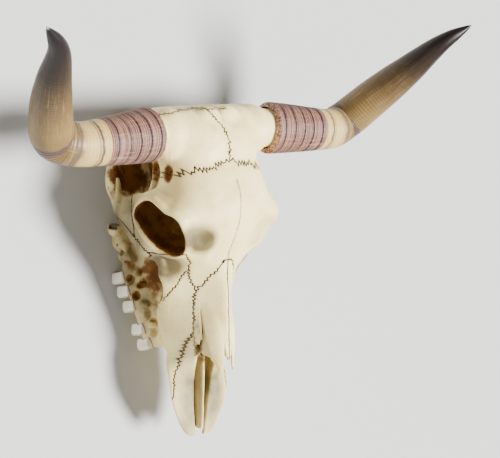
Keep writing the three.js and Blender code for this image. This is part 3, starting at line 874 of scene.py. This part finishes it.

# %% [markdown]
# Dirt gathers where water once stood: below the rims of the sockets, in the pits and between the
# roots of the teeth; the narrow bed in the slit beside the nasal bone is painted shade instead. A
# thinner olive film lies on the bone around; beside and below the socket and on the cheek it is
# partly patina and partly painted shade. Both are given as ellipsoids on the right side and
# mirrored.

# %% Dirt, film and painted shade
DIRT_AND_SHADE_BEDS = [                            # centre, radii; dirt lies thick inside these, and in the slit bed painted shade
    ((-80, -28, -130), (46, 42, 44)),
    ((-96, -20, -70), (26, 24, 14)),
    ((-91, -15, -42), (15, 17, 11)),
    ((-66, -186, -112), (26, 50, 34)),
    ((-60, -232, -118), (14, 32, 12)),
    ((-92, -116, -152), (14, 24, 10)),
    ((0, -262, -60), (24, 62, 26)),
    ((-14, -308, -82), (10, 26, 14)),
    # painted shade: darkens the slit between the nasal bone and the bone beside it
    ((-26, -262, -48), (8, 44, 14)),
    ((0, -138, -132), (20, 34, 18)),
    ((0, 60, -172), (20, 50, 20)),
    ((-82, -150, -170), (11, 6, 8)),
    ((-74, -172, -158), (12, 10, 9)),
    ((-72, -195, -162), (12, 9, 7)),
    ((-62, -200, -142), (12, 8, 8)),
    ((-66, -220, -153), (12, 8, 7)),
    ((-58, -248, -134), (9, 9, 6)),
]
FILM_AND_SHADE_BEDS = [                            # centre, radii, share; an olive film, which in the first four beds is partly painted shade
    # painted olive shade, partly patina: the dent beside the socket, its edge, below the socket,
    # the cheek
    ((-70, -112, 0), (34, 22, 30), 1.5),
    ((-54, -119, 2), (22, 22, 26), 2.0),
    ((-80, -160, -58), (36, 28, 36), 1.6),
    ((-106, -104, -116), (28, 70, 50), 1.6),
    ((-72, -170, -158), (26, 110, 46), 0.85),
    ((-62, -225, -135), (24, 62, 28), 0.8),
    ((-70, -262, -100), (16, 76, 24), 0.3),
    ((-14, -388, -82), (12, 52, 10), 0.6),
    ((-24, -370, -70), (28, 90, 24), 1.1),
    ((-100, 26, -78), (30, 40, 22), 0.4),
]
BED_EDGE = 1.25                          # beds reach this far, in radii
DIRT_AND_SHADE_FADE, FILM_AND_SHADE_FADE = 0.65, 1.0         # radii from full thickness to none
SUNLIT_ABOVE, SUNLIT_SHARE = -40, 0.3      # film and painted shade are thinner on the upper left side, which the sun lights
rim_plane = np.linalg.svd(socket_outline - socket_centre)[2][2]
rim_plane *= np.sign(rim_plane @ SOCKET_INWARD)


def right_side(points):
    return np.column_stack([-np.abs(points[:, 0]), points[:, 1:]])


def bedded(points, beds, soft):
    """How thick the dirt, film and painted shade of the beds lie, from 0 to 1; they thin out
    towards each ellipsoid's edge.
    """
    thick = np.zeros(len(points))
    for centre, radii, *share in beds:
        reach = np.linalg.norm((points - np.asarray(centre)) / radii, axis=1)
        most = share[0] if share else 1
        thick = np.maximum(thick, np.clip((BED_EDGE - reach) / soft * most, 0, 1))
    return thick


def dirt_and_shade_at(points):
    """Thick below the socket's rim and in the beds, thin on the hook that stands clear."""
    mirrored = right_side(points)
    below_rim = (mirrored - socket_centre) @ rim_plane
    carved = np.clip((1.8 - sample(socket_hollow, mirrored)) / 1.2, 0, 1)
    thick = carved * np.clip((below_rim + 7) / 5, 0, 1)
    thick = np.maximum(thick, bedded(mirrored, DIRT_AND_SHADE_BEDS, DIRT_AND_SHADE_FADE))
    return np.where(sample(hook, mirrored) < 1.2, 0.1, thick)


def film_and_shade_at(points):
    # an olive film that is partly painted shade beside and below the socket and on the cheek
    sunlit = (points[:, 0] > 0) & (points[:, 2] > SUNLIT_ABOVE)
    return bedded(right_side(points), FILM_AND_SHADE_BEDS, FILM_AND_SHADE_FADE) * np.where(sunlit, SUNLIT_SHARE, 1)


print("dirt beds:", len(DIRT_AND_SHADE_BEDS), "film beds:", len(FILM_AND_SHADE_BEDS))

# %% [markdown]
# Now the bones come out one by one. Each is the solid, kept inside its own outline and outside
# the outlines of the bones already taken, with a hair's gap between.

# %% Bones
DARK_BONES = ("skull_base", "occipital")
remaining = skull
taken = []
bones = {}
for name, region, shape in bone_regions:
    own = remaining
    if region:
        inside = region.grid()
        own = np.maximum(remaining, inside + SEAM_GAP)
    if shape:
        own = np.maximum(own, shape.grid())
    points, quads = polygons_of(own)
    quads = outward(points, quads)
    nearby = taken + ([region] if region else [])
    seam = np.minimum.reduce([np.abs(other.value(points)) for other in nearby])
    faded = np.clip((SCORE_FLOOR + SCORE_FADE - points[:, 2]) / SCORE_FADE, 0, 1)
    seam = np.minimum(seam, score_region.value(points) + 3 * faded)
    looks = {"seam": seam,
             "near": sample(near_bone, points, VOXEL * COARSE),
             "wide": sample(wide_bone, points, VOXEL * COARSE),
             "dirt": dirt_and_shade_at(points),
             "film": film_and_shade_at(points),
             "pit": sample(stain, points)}
    slot = "bone_base" if name in DARK_BONES else "bone"
    bones[name] = make_piece(name + "_bone", points, [quads], looks, name)
    thin(bones[name])
    if region:
        remaining = np.maximum(remaining, SEAM_GAP - inside)
        taken.append(region)
print("bones made:", len(bones), "faces:", sum(len(b.data.polygons) for b in bones.values()))

# %% [markdown]
# A molar is a rounded block with folds down its sides and worn cusps on its chewing face. Each is
# a loft of rounded squares, so it keeps crisp folds without many faces. They are set at slightly
# uneven places and turns, as real teeth are.

# %% Teeth
TOOTH_LONG = 19
TOOTH_WIDE = 18
TOOTH_TALL = 30
TOOTH_START = (-69, -196, -191)
TOOTH_END = (-51, -300, -149)
TOOTH_PLACES = (0, 0.2, 0.42, 0.76, 0.98)
TOOTH_ROOT_DROP = 11                     # crown's end below the tooth line
TOOTH_FIT = 0.98                         # leaves a hair's room between neighbours
TOOTH_CORNER = 0.5                       # how square a tooth's sections are
WORN_EDGE = 0.16                         # share of its height that rounds off into the cusps


def tooth(number, place):
    draw = np.random.default_rng(200 + number)
    angle = circle(72)[None, :]
    rise = np.linspace(0, 1, 64)[:, None]            # from the chewing face up to the root
    edge = np.clip(rise / WORN_EDGE, 0, 1)
    inset = 0.25 + 0.75 * np.sqrt(1 - (1 - edge) ** 2)
    folds = 1 - 0.045 * np.cos(angle * 2 + 0.3) ** 8 - 0.03 * np.cos(angle * 3 + 1.1) ** 6
    taper = 1 - 0.10 * rise ** 2 + 0.03 * np.sin(rise * 7)
    size = inset * folds * taper
    x = TOOTH_WIDE / 2 * TOOTH_FIT * size * squared(np.cos(angle), TOOTH_CORNER)
    y = TOOTH_LONG / 2 * TOOTH_FIT * size * squared(np.sin(angle), TOOTH_CORNER)
    cusp = 1.1 * np.cos(x / 3.2) * np.cos(y / 2.6) * (1 - edge)
    z = TOOTH_TALL * (0.03 + 0.97 * rise) - TOOTH_ROOT_DROP + 0.6 + cusp + 0 * angle
    rings = np.stack([x, y, z], 2)
    turn = turned((-0.28 + draw.uniform(-0.03, 0.03), draw.uniform(-0.04, 0.04), 0))
    swing = turned((0, 0, -0.12 + draw.uniform(-0.05, 0.05)))
    middle = np.array(TOOTH_START) * (1 - place) + np.array(TOOTH_END) * place
    rings = rings @ swing.T @ turn.T + middle
    return rings, np.concatenate([np.repeat(rise[:, 0], rings.shape[1]), [0, 1]])


def skinned(name, rings, mirror, flip, looks, node):
    """A piece from rings: mirrored to the other side if asked, its faces flipped if asked."""
    points, *faces = skin_faces(rings)
    if mirror:
        points = points * (-1, 1, 1)
    if flip:
        faces = [f[:, ::-1] for f in faces]
    return make_piece(name, points, faces, looks, node)


teeth = []
for side, side_name in SIDES:
    left = side == LEFT
    for number, place in enumerate(TOOTH_PLACES):
        rings, height = tooth(number + left * len(TOOTH_PLACES), place)
        # each tooth carries its distance from the bone, which sets the painted shade where it meets
        # the bone
        looks = {"rise": height, "shade_near_bone": sample(skull, skin_faces(rings)[0])}
        teeth.append(skinned(f"tooth_{side_name}_{number + 1}", rings, left, left, looks,
                             f"maxilla_{side_name}"))
print("teeth:", len(teeth))

# %% [markdown]
# A horn is a sheath that grows in rings along a curved line. The line is walked by its true
# length, so the rings keep an even spacing round the bends.

# %% Horn line
HORN_LINE = [(112, 41, -49), (160, 38, -44), (205, 35, -41), (250, 34, -44), (281, 43, -48),
             (314, 84, -9), (340, 125, 37), (367, 172, 90), (404, 200, 119)]
HORN_RADII = [(0, 41), (0.1, 38.5), (0.2, 35), (0.3, 33), (0.45, 32.5), (0.55, 31), (0.65, 28),
              (0.75, 23), (0.85, 16.5), (0.93, 10.5), (0.98, 4.5), (1, 1.2)]
COLLAR_SHARE = 0.225                     # share of the horn's length that the collar covers
GAP = 0.3
WALK_STEPS = 4000
walk = spline(HORN_LINE, steps(WALK_STEPS))
walked = np.concatenate([[0], np.cumsum(np.linalg.norm(np.diff(walk, axis=0), axis=1))])
HORN_LENGTH = walked[-1]


def horn_rings(shares, radius):
    """radius is an array of shares x sides."""
    nudge = HORN_LENGTH / 400
    at = [np.clip(shares * HORN_LENGTH + d, 0, HORN_LENGTH) for d in (0, nudge, -nudge)]
    centre, ahead, behind = [np.stack([np.interp(a, walked, axis) for axis in walk.T], 1)
                             for a in at]
    along = (ahead - behind) / np.linalg.norm(ahead - behind, axis=1)[:, None]
    over_side = np.cross((0, 0, 1), along)
    over_side /= np.linalg.norm(over_side, axis=1)[:, None]
    over = np.cross(along, over_side)
    angle = circle(radius.shape[1])[None, :, None]
    return (centre[:, None] + over_side[:, None] * radius[:, :, None] * np.cos(angle)
            + over[:, None] * radius[:, :, None] * np.sin(angle))


def horn_looks(shares, sides):
    """Growth coordinates for the material: round the horn, and millimetres along it."""
    angle = circle(sides)
    along = np.repeat(shares, sides)
    around = np.tile(np.stack([np.cos(angle), np.sin(angle)], 1), (len(shares), 1))
    looks = np.column_stack([around * 30, along * HORN_LENGTH])
    ends = [(0, 0, shares[0] * HORN_LENGTH), (0, 0, shares[-1] * HORN_LENGTH)]
    return np.vstack([looks, ends]), np.append(along, [shares[0], shares[-1]])


def swell(angle, share, seed, waves=6):
    """Slow unevenness over a horn, made of a few seeded waves."""
    draw = np.random.default_rng(seed)
    total = 0
    for _ in range(waves):
        turns = draw.integers(1, 4)
        total = total + np.sin(turns * angle + draw.uniform(10, 60) * share
                               + draw.uniform(0, 6))
    return total / waves


print("horn length, mm:", round(HORN_LENGTH))

# %% [markdown]
# The shaft tapers and carries fine growth rings that fade towards its tip. The collar is a thick
# grooved band that folds in over a crumbling lip and lines its own bore.

# %% Horn shafts and collars
SHEATH_BORE = 32.5
SHEATH_DEPTH = 24
GROOVES = (0.035, 0.078, 0.120, 0.160, 0.203)
SHAFT_RING, COLLAR_RING = 5.2, 3.1       # millimetres from one growth ring to the next
SHAFT_SIDES, COLLAR_SIDES = 96, 144
SOFTEN = 31                              # rings over which the shaft's bends are softened
ROOT_SHARE = 0.006                       # where the lip turns inwards, as a share of the length


def shaft(seed):
    angle = circle(SHAFT_SIDES)[None, :]
    shares = np.linspace(COLLAR_SHARE + GAP / HORN_LENGTH, 1, 440)
    share = shares[:, None]
    base = np.interp(shares, *zip(*HORN_RADII))
    kernel = np.hanning(SOFTEN)
    soft = np.convolve(np.pad(base, SOFTEN // 2, mode="edge"), kernel / kernel.sum(), "valid")
    base = np.minimum(soft, base)[:, None]
    wave = swell(angle, share, seed)
    ring_phase = share * HORN_LENGTH / SHAFT_RING + 0.5 * wave
    relief = 0.22 * np.sin(2 * np.pi * ring_phase) * np.clip((0.8 - share) / 0.3, 0, 1)
    fade = np.clip((1 - share) / 0.08, 0, 1)
    radius = np.maximum(base * (0.985 + 0.006 * wave * fade) + relief * fade - 0.25, 0.4)
    return shares, radius, {}


def collar_band(seed):
    draw = np.random.default_rng(seed)
    outer = np.linspace(COLLAR_SHARE, 2 * ROOT_SHARE, 190)
    lip_turn = np.linspace(0, np.pi, 22)[1:-1]
    bore = np.linspace(ROOT_SHARE, SHEATH_DEPTH / HORN_LENGTH, 14)
    shares = np.concatenate([outer, ROOT_SHARE + ROOT_SHARE * np.cos(lip_turn), bore])
    share = outer[:, None]
    wave = swell(circle(COLLAR_SIDES)[None, :], share, seed + 7)
    relief = 0.45 * np.sin(2 * np.pi * (share * HORN_LENGTH / COLLAR_RING + 0.35 * wave))
    for groove in GROOVES:
        off = (share - groove) * HORN_LENGTH + 0.9 * wave
        relief = relief - 1.7 * np.exp(-(off / 1.5) ** 2) + 0.6 * np.exp(-(off / 5) ** 2)
    base = np.interp(outer, *zip(*HORN_RADII))[:, None] - 0.5
    outside = base + relief + 0.3 * draw.normal(0, 0.35, (len(outer), COLLAR_SIDES))
    rim_out, rim_in = outside[-1:], SHEATH_BORE + 0.4 + 0 * outside[-1:]
    crumbs = draw.normal(0, 0.5, (len(lip_turn), COLLAR_SIDES))
    lip_radius = ((rim_out + rim_in) / 2
                  + (rim_out - rim_in) / 2 * np.cos(lip_turn)[:, None] + crumbs)
    inside = np.repeat(rim_in, len(bore), 0) + draw.normal(0, 0.25, (len(bore), COLLAR_SIDES))
    rim = np.clip((0.02 - np.append(np.repeat(shares, COLLAR_SIDES), [1, 0])) / 0.012, 0, 1)
    return shares, np.concatenate([outside, lip_radius, inside]), {"rim": rim}


horn_pieces = []
for side, side_name in SIDES:
    mirror = side == RIGHT
    for name, make, node, slot, flip in (
            ("horn_shaft", shaft, "horn", "horn", mirror),
            ("horn_ring_base", collar_band, "horn_collar", "horn_collar", not mirror)):
        shares, radius, more_looks = make(300 + side)
        growth, along = horn_looks(shares, radius.shape[1])
        horn_pieces.append(skinned(f"{name}_{side_name}", horn_rings(shares, radius), mirror, flip,
                                   {"growth": growth, "along": along, **more_looks},
                                   f"{node}_{side_name}"))
print("horn pieces:", [p.name for p in horn_pieces])

# %% [markdown]
# Materials are grown from the same measures. One shared effect reads the values that each bone's
# skin carries, such as its hollows, pits, dirt, painted shade and seams, and gives back a colour, a
# roughness and a height. Both bone materials use it, each with its own base colour.

# %% Node helpers
class Nodes:
    """Adds nodes to one tree; most helpers give back the output that the next one takes."""

    def __init__(self, tree):
        self.tree = tree

    def feed(self, node, inputs):
        for key, value in dict(inputs).items():
            if isinstance(value, bpy.types.NodeSocket):
                self.tree.links.new(value, node.inputs[key])
            else:
                node.inputs[key].default_value = value

    def add(self, kind, inputs=(), **settings):
        node = self.tree.nodes.new("ShaderNode" + kind)
        for key, value in settings.items():
            setattr(node, key, value)
        self.feed(node, inputs)
        return node

    def calc(self, operation, *values):
        return self.add("Math", enumerate(values), operation=operation).outputs[0]

    def times(self, first, second):
        return self.calc("MULTIPLY", first, second)

    def plus(self, base, value, size):
        """base + value x size"""
        return self.calc("MULTIPLY_ADD", value, size, base)

    def swayed(self, base, cloud, size):
        """base, pushed up and down by a noise that swings about one half"""
        return self.plus(base, self.calc("SUBTRACT", cloud, 0.5), size)

    def ramp(self, value, low, high, start=0.0, end=1.0):
        """A smooth step of a value from low to high."""
        return self.add("MapRange", {0: value, 1: low, 2: high, 3: start, 4: end},
                        interpolation_type="SMOOTHSTEP").outputs[0]

    def band(self, along, centre, width, soft):
        """1 on a ring of the horn, fading out to both sides."""
        off = self.calc("ABSOLUTE", self.calc("SUBTRACT", along, centre))
        return self.ramp(off, width + soft, width)

    def blend(self, share, first, second):
        return self.add("Mix", {0: share, 6: first, 7: second}, data_type="RGBA").outputs[2]

    def layered(self, tint, layers):
        """Colours laid over the first one; a layer is a share, a colour and a strength."""
        for share, tone, strength in layers:
            tint = self.blend(share if strength == 1 else self.times(share, strength), tint, tone)
        return tint

    def spot(self):
        return self.add("TexCoord").outputs["Object"]

    def stretched(self, where, sizes):
        return self.add("Mapping", {"Vector": where, "Scale": sizes}).outputs[0]

    def noise(self, where, scale, detail=3.0, roughness=0.55):
        return self.add("TexNoise", {"Vector": where, "Scale": scale, "Detail": detail,
                                     "Roughness": roughness}).outputs["Fac"]

    def reading(self, name, output="Fac"):
        return self.add("Attribute", attribute_type="GEOMETRY",
                        attribute_name=name).outputs[output]

    def surface(self, shader, tint, roughness, height, strength, distance):
        bump = self.add("Bump", {"Strength": strength, "Distance": distance, "Height": height})
        self.feed(shader, {"Base Color": tint, "Roughness": roughness, "Normal": bump.outputs[0]})


def colour(red, green, blue):
    """An sRGB colour in 0-255 as linear values."""
    parts = [c / 255 for c in (red, green, blue)]
    return [c / 12.92 if c < 0.04045 else ((c + 0.055) / 1.055) ** 2.4 for c in parts] + [1]


def effect(name, inputs, outputs):
    """A node group; sockets are named in a line, with a kind after a colon if not a number."""
    group = bpy.data.node_groups.new(name, "ShaderNodeTree")
    for names, way in ((inputs, "INPUT"), (outputs, "OUTPUT")):
        for key, _, kind in [word.partition(":") for word in names.split()]:
            group.interface.new_socket(key, in_out=way,
                                       socket_type="NodeSocket" + (kind or "Float"))
    given, result = [group.nodes.new("NodeGroup" + way) for way in ("Input", "Output")]
    return Nodes(group), given.outputs, result


def material(name):
    made = bpy.data.materials.new(name)
    made.use_nodes = True
    shader = next(n for n in made.node_tree.nodes if n.type == "BSDF_PRINCIPLED")
    return made, Nodes(made.node_tree), shader


IVORY = colour(252, 232, 164)
OLD_YELLOW = colour(212, 176, 92)
OLIVE = colour(92, 78, 38)
RUST_BROWN = colour(112, 72, 24)
DEEP_BROWN = colour(72, 38, 12)
SEAM_BROWN = colour(44, 26, 10)
PURPLE_GREY = colour(72, 54, 56)
print("helpers ready")

# %% Aged bone effect
aged, given, result = effect("Aged bone", "Base:Color Where:Vector Near Wide Pit Dirt Film Seam",
                             "Color:Color Roughness Height")
where = given["Where"]
mottle = aged.noise(where, 22, 4)
cloud = aged.noise(where, 9, 2)
grain = aged.noise(aged.stretched(where, (1, 0.25, 1)), 420, 3)
fine = aged.noise(where, 900, 2)
patchy = aged.ramp(mottle, 0.35, 0.7)
hollow = aged.ramp(aged.swayed(given["Near"], mottle, 0.1), 0.5, 0.66)
valley = aged.ramp(aged.swayed(given["Wide"], cloud, 0.08), 0.5, 0.72)
# the olive film; in the beds beside and below the socket and on the cheek it is partly painted
# shade
film = aged.times(aged.ramp(mottle, 0.3, 0.65, 0.8, 1.0), given["Film"])
carved = aged.ramp(aged.plus(given["Pit"], mottle, 4.0), 4.2, 1.2)
# dirt, and the painted shade in the slit beside the nose, turn rusty and dark brown
uneven = aged.swayed(given["Dirt"], aged.noise(where, 60, 4), 1.8)
rusty = aged.times(aged.ramp(uneven, 0.15, 0.75), aged.ramp(given["Dirt"], 0.0, 0.2))
rusty = aged.calc("MAXIMUM", aged.times(carved, 0.4), rusty)
dark = aged.times(aged.ramp(uneven, 0.45, 1.05),
                  aged.ramp(aged.noise(where, 45, 4), 0.38, 0.6, 0.3, 1.0))
line = aged.ramp(aged.swayed(given["Seam"], grain, 0.8), 1.1, 0.45)
line = aged.times(line, aged.ramp(given["Dirt"], 0.5, 0.1))
halo = aged.ramp(given["Seam"], 4.0, 0.6, 0.0, 0.16)
pore = aged.add("TexVoronoi", {"Vector": where, "Scale": 330.0}).outputs["Distance"]
pits_here = aged.ramp(aged.plus(pore, aged.ramp(cloud, 0.5, 0.75), 0.12), 0.24, 0.14)
tint = aged.layered(given["Base"], [
    (patchy, OLD_YELLOW, 0.38), (valley, OLD_YELLOW, 0.45), (hollow, OLIVE, 0.4), (film, OLIVE, 1),
    (rusty, RUST_BROWN, 1), (dark, DEEP_BROWN, 0.85), (line, SEAM_BROWN, 0.9),
    (halo, RUST_BROWN, 1), (pits_here, RUST_BROWN, 0.25)])
height = aged.calc("ADD", aged.times(grain, 0.5), aged.times(fine, 0.2))
for value, size in ((mottle, 1.2), (pits_here, -0.5), (line, -0.9)):
    height = aged.plus(height, value, size)
roughness = aged.calc("ADD", aged.times(grain, 0.22), aged.calc("MULTIPLY_ADD", rusty, -0.12, 0.42))
aged.feed(result, {"Color": tint, "Roughness": roughness, "Height": height})


def bone_material(name, base):
    made, nodes, shader = material(name)
    looks = {key: nodes.reading(key.lower())
             for key in ("Near", "Wide", "Pit", "Dirt", "Film", "Seam")}
    skin = nodes.add("Group", {"Base": base, "Where": nodes.spot(), **looks},
                     node_tree=aged.tree).outputs
    nodes.surface(shader, skin["Color"], skin["Roughness"], skin["Height"], 0.5, 0.0006)
    nodes.feed(shader, {"Specular IOR Level": nodes.ramp(looks["Dirt"], 0.0, 0.8, 0.5, 0.08)})
    return made


bone = bone_material("bone", IVORY)
bone_base = bone_material("bone_base", colour(226, 209, 168))
for name, piece in bones.items():
    piece.data.materials.append(bone_base if name in DARK_BONES else bone)
print("bone materials on", len(bones), "pieces")

# %% Enamel
enamel, nodes, shader = material("enamel")
where = nodes.spot()
speck = nodes.noise(where, 60, 4)
streak = nodes.noise(nodes.stretched(where, (1, 1, 0.2)), 500, 2)
# painted shade: the enamel turns dark brown where the tooth meets the bone
shade_near_bone = nodes.ramp(nodes.plus(nodes.reading("shade_near_bone"), speck, 1.6), 3.4, 1.1)
worn = nodes.ramp(nodes.reading("rise"), 0.04, 0.0)
white = nodes.layered(colour(255, 248, 226), [
    (nodes.ramp(speck, 0.45, 0.8), colour(236, 222, 180), 1),
    (shade_near_bone, colour(92, 56, 24), 1), (worn, colour(190, 160, 104), 0.5)])
nodes.surface(shader, white, nodes.ramp(speck, 0.3, 0.8, 0.24, 0.45), streak, 0.35, 0.0004)
for piece in teeth:
    piece.data.materials.append(enamel)
print("enamel on", len(teeth), "teeth")

# %% [markdown]
# Horn grows in layers, so its colour changes along its length and its streaks run round it. The
# growth effect reads the distance along the horn and gives streaks and ridges; the shaft and the
# collar colour them in their own way.

# %% Growth effect
grown, given, result = effect("Horn growth", "Where:Vector", "Rings Fibres Cloud")
for key, sizes, detail, roughness in (("Rings", (0.012, 0.012, 0.55), 4, 0.6),
                                      ("Fibres", (0.6, 0.6, 0.03), 3, 0.55),
                                      ("Cloud", (0.05, 0.05, 0.03), 3, 0.55)):
    where = grown.stretched(given["Where"], sizes)
    grown.feed(result, {key: grown.noise(where, 1.0, detail, roughness)})


def growth_of(nodes):
    return nodes.add("Group", {"Where": nodes.reading("growth", "Vector")},
                     node_tree=grown.tree).outputs


print("growth effect ready")

# %% Horn
# the dark stop at 0.36, where the shaft bends, is partly painted shade of the bend
SHAFT_TONES = [(0.0, (180, 150, 84)), (0.30, (198, 168, 104)), (0.36, (104, 82, 44)),
               (0.50, (122, 98, 54)), (0.64, (84, 64, 36)), (0.76, (42, 30, 20)),
               (0.88, (26, 17, 13)), (0.985, (16, 11, 11))]
DARK_BANDS = [                           # place along the horn, width, soft edge, strength
    (0.258, 0.002, 0.005, 0.9), (0.268, 0.001, 0.004, 0.5), (0.334, 0.003, 0.012, 0.7),
    (0.412, 0.005, 0.018, 0.85), (0.424, 0.002, 0.008, 0.6)]
horn, nodes, shader = material("horn")
marks = growth_of(nodes)
along = nodes.swayed(nodes.reading("along"), marks["Cloud"], 0.025)
ramps = nodes.add("ValToRGB", {0: along})
elements = ramps.color_ramp.elements
elements[0].position, elements[1].position = SHAFT_TONES[0][0], SHAFT_TONES[-1][0]
for position, _ in SHAFT_TONES[1:-1]:
    elements.new(position)
for element, (_, tone) in zip(elements, SHAFT_TONES):
    element.color = colour(*tone)
pale_part = nodes.ramp(along, 0.84, 0.6)
tint = nodes.layered(ramps.outputs[0], [
    (nodes.ramp(marks["Rings"], 0.45, 0.7, 0, 0.18), colour(128, 98, 62), pale_part),
    (nodes.ramp(marks["Fibres"], 0.5, 0.75, 0, 0.14), colour(222, 206, 160), pale_part),
    *[(nodes.band(along, centre, width, soft), PURPLE_GREY, strength)
      for centre, width, soft, strength in DARK_BANDS],
    (nodes.ramp(nodes.reading("along"), 0.988, 1.0, 0, 0.75), colour(188, 180, 172), 1)])
nodes.surface(shader, tint, nodes.ramp(marks["Fibres"], 0.3, 0.8, 0.36, 0.55),
              nodes.plus(marks["Cloud"], marks["Rings"], 0.5), 0.6, 0.0009)
nodes.feed(shader, {"Specular IOR Level": 0.25})
print("horn tones:", len(elements))

# %% Horn collar
THREADS = (0.018, 0.056, 0.099, 0.140, 0.182, 0.215)     # fine dark lines between the grooves
collar, nodes, shader = material("horn_collar")
marks = growth_of(nodes)
wavy = nodes.swayed(nodes.reading("along"), marks["Cloud"], 0.012)
rim = nodes.reading("rim")
crumb = nodes.noise(nodes.spot(), 260, 3)
crumbly = nodes.blend(nodes.ramp(crumb, 0.4, 0.6), colour(110, 66, 50), colour(206, 160, 130))
tint = nodes.layered(colour(158, 112, 90), [
    (nodes.ramp(marks["Rings"], 0.35, 0.65), colour(96, 64, 54), 1),
    *[(nodes.band(wavy, place, 0.002, 0.005), colour(46, 38, 46), 0.9) for place in GROOVES],
    *[(nodes.band(wavy, place, 0.0012, 0.003), colour(84, 64, 66), 0.45) for place in THREADS],
    (nodes.ramp(marks["Fibres"], 0.5, 0.8), colour(214, 176, 150), 0.35),
    (rim, crumbly, 0.8)])
relief = nodes.plus(marks["Rings"], marks["Fibres"], 0.5)
relief = nodes.plus(relief, nodes.times(crumb, rim), 2.5)
nodes.surface(shader, tint, nodes.ramp(marks["Fibres"], 0.3, 0.8, 0.5, 0.7), relief, 0.8, 0.0012)
for piece in horn_pieces:
    piece.data.materials.append(horn if "shaft" in piece.name else collar)
print("horn materials on", len(horn_pieces), "pieces")

# %% [markdown]
# The studio is a wide pale floor, a soft sky, a broad sun over the skull's left, a weak lamp at
# its right and a low one in front that opens up the shadows.

# %% Studio
FLOOR_HALF = 40.0
floor_mesh = bpy.data.meshes.new("floor")
floor_mesh.from_pydata([(x * FLOOR_HALF, y * FLOOR_HALF, 0)
                        for x, y in ((-1, -1), (1, -1), (1, 1), (-1, 1))], [], [(0, 1, 2, 3)])
floor = linked("floor", floor_mesh)
pale, nodes, shader = material("floor")
nodes.feed(shader, {"Base Color": colour(190, 190, 188), "Roughness": 0.9,
                    "Specular IOR Level": 0.2})
floor.data.materials.append(pale)

SKULL_MIDDLE = Vector((0, 0, 0.2))
LIGHTS = [                               # name, kind, place, what sets its breadth, breadth, power
    ("key", "SUN", (1.1, -0.6, 2.6), "angle", 0.3, 13),
    ("fill", "AREA", (-2.2, -1.2, 1.6), "size", 1.8, 24),
    ("low", "AREA", (0.4, -2.6, 1.2), "size", 1.6, 14)]
SKY, SKY_STRENGTH = (1, 0.98, 0.95, 1), 0.3
for name, kind, place, key, breadth, power in LIGHTS:
    lamp = bpy.data.lights.new(name, kind)
    lamp.energy = power
    setattr(lamp, key, breadth)
    holder = linked(name, lamp)
    holder.location = place
    holder.rotation_euler = (SKULL_MIDDLE - Vector(place)).to_track_quat("-Z", "Y").to_euler()
world = bpy.data.worlds.new("studio")
bpy.context.scene.world = world
world.use_nodes = True
Nodes(world.node_tree).feed(world.node_tree.nodes["Background"], {0: SKY, 1: SKY_STRENGTH})
print("lights:", len(LIGHTS))

# %% [markdown]
# The camera looks down on the skull from its right and front, from 2.4 metres, so the lines of
# the face barely converge.

# %% Camera
TURN = math.radians(41)
RAISE = math.radians(7.5)
DISTANCE = 2400
LENS, SENSOR = 115.2, 36
AIM = (30.0, -103.5)                     # what it aims at, across and up from the crossing
right = np.array([math.cos(TURN), 0, math.sin(TURN)])
up = np.array([math.sin(TURN) * math.sin(RAISE), math.cos(RAISE),
               -math.cos(TURN) * math.sin(RAISE)])
back = np.cross(right, up)
aim = right * AIM[0] + up * AIM[1]
eye, target, above = to_frame(np.array([aim + back * DISTANCE, aim, aim + up * 100]))
lens_back = Vector(eye - target).normalized()
lens_up = Vector(above - target).normalized()
lens_right = lens_up.cross(lens_back)
camera_data = bpy.data.cameras.new("camera")
camera_data.lens, camera_data.sensor_width = LENS, SENSOR
camera = linked("camera", camera_data)
columns = zip(lens_right, lens_up, lens_back, eye)
camera.matrix_world = Matrix([*columns, (0, 0, 0, 1)])
bpy.context.scene.camera = camera
print("camera at", np.round(eye, 3))
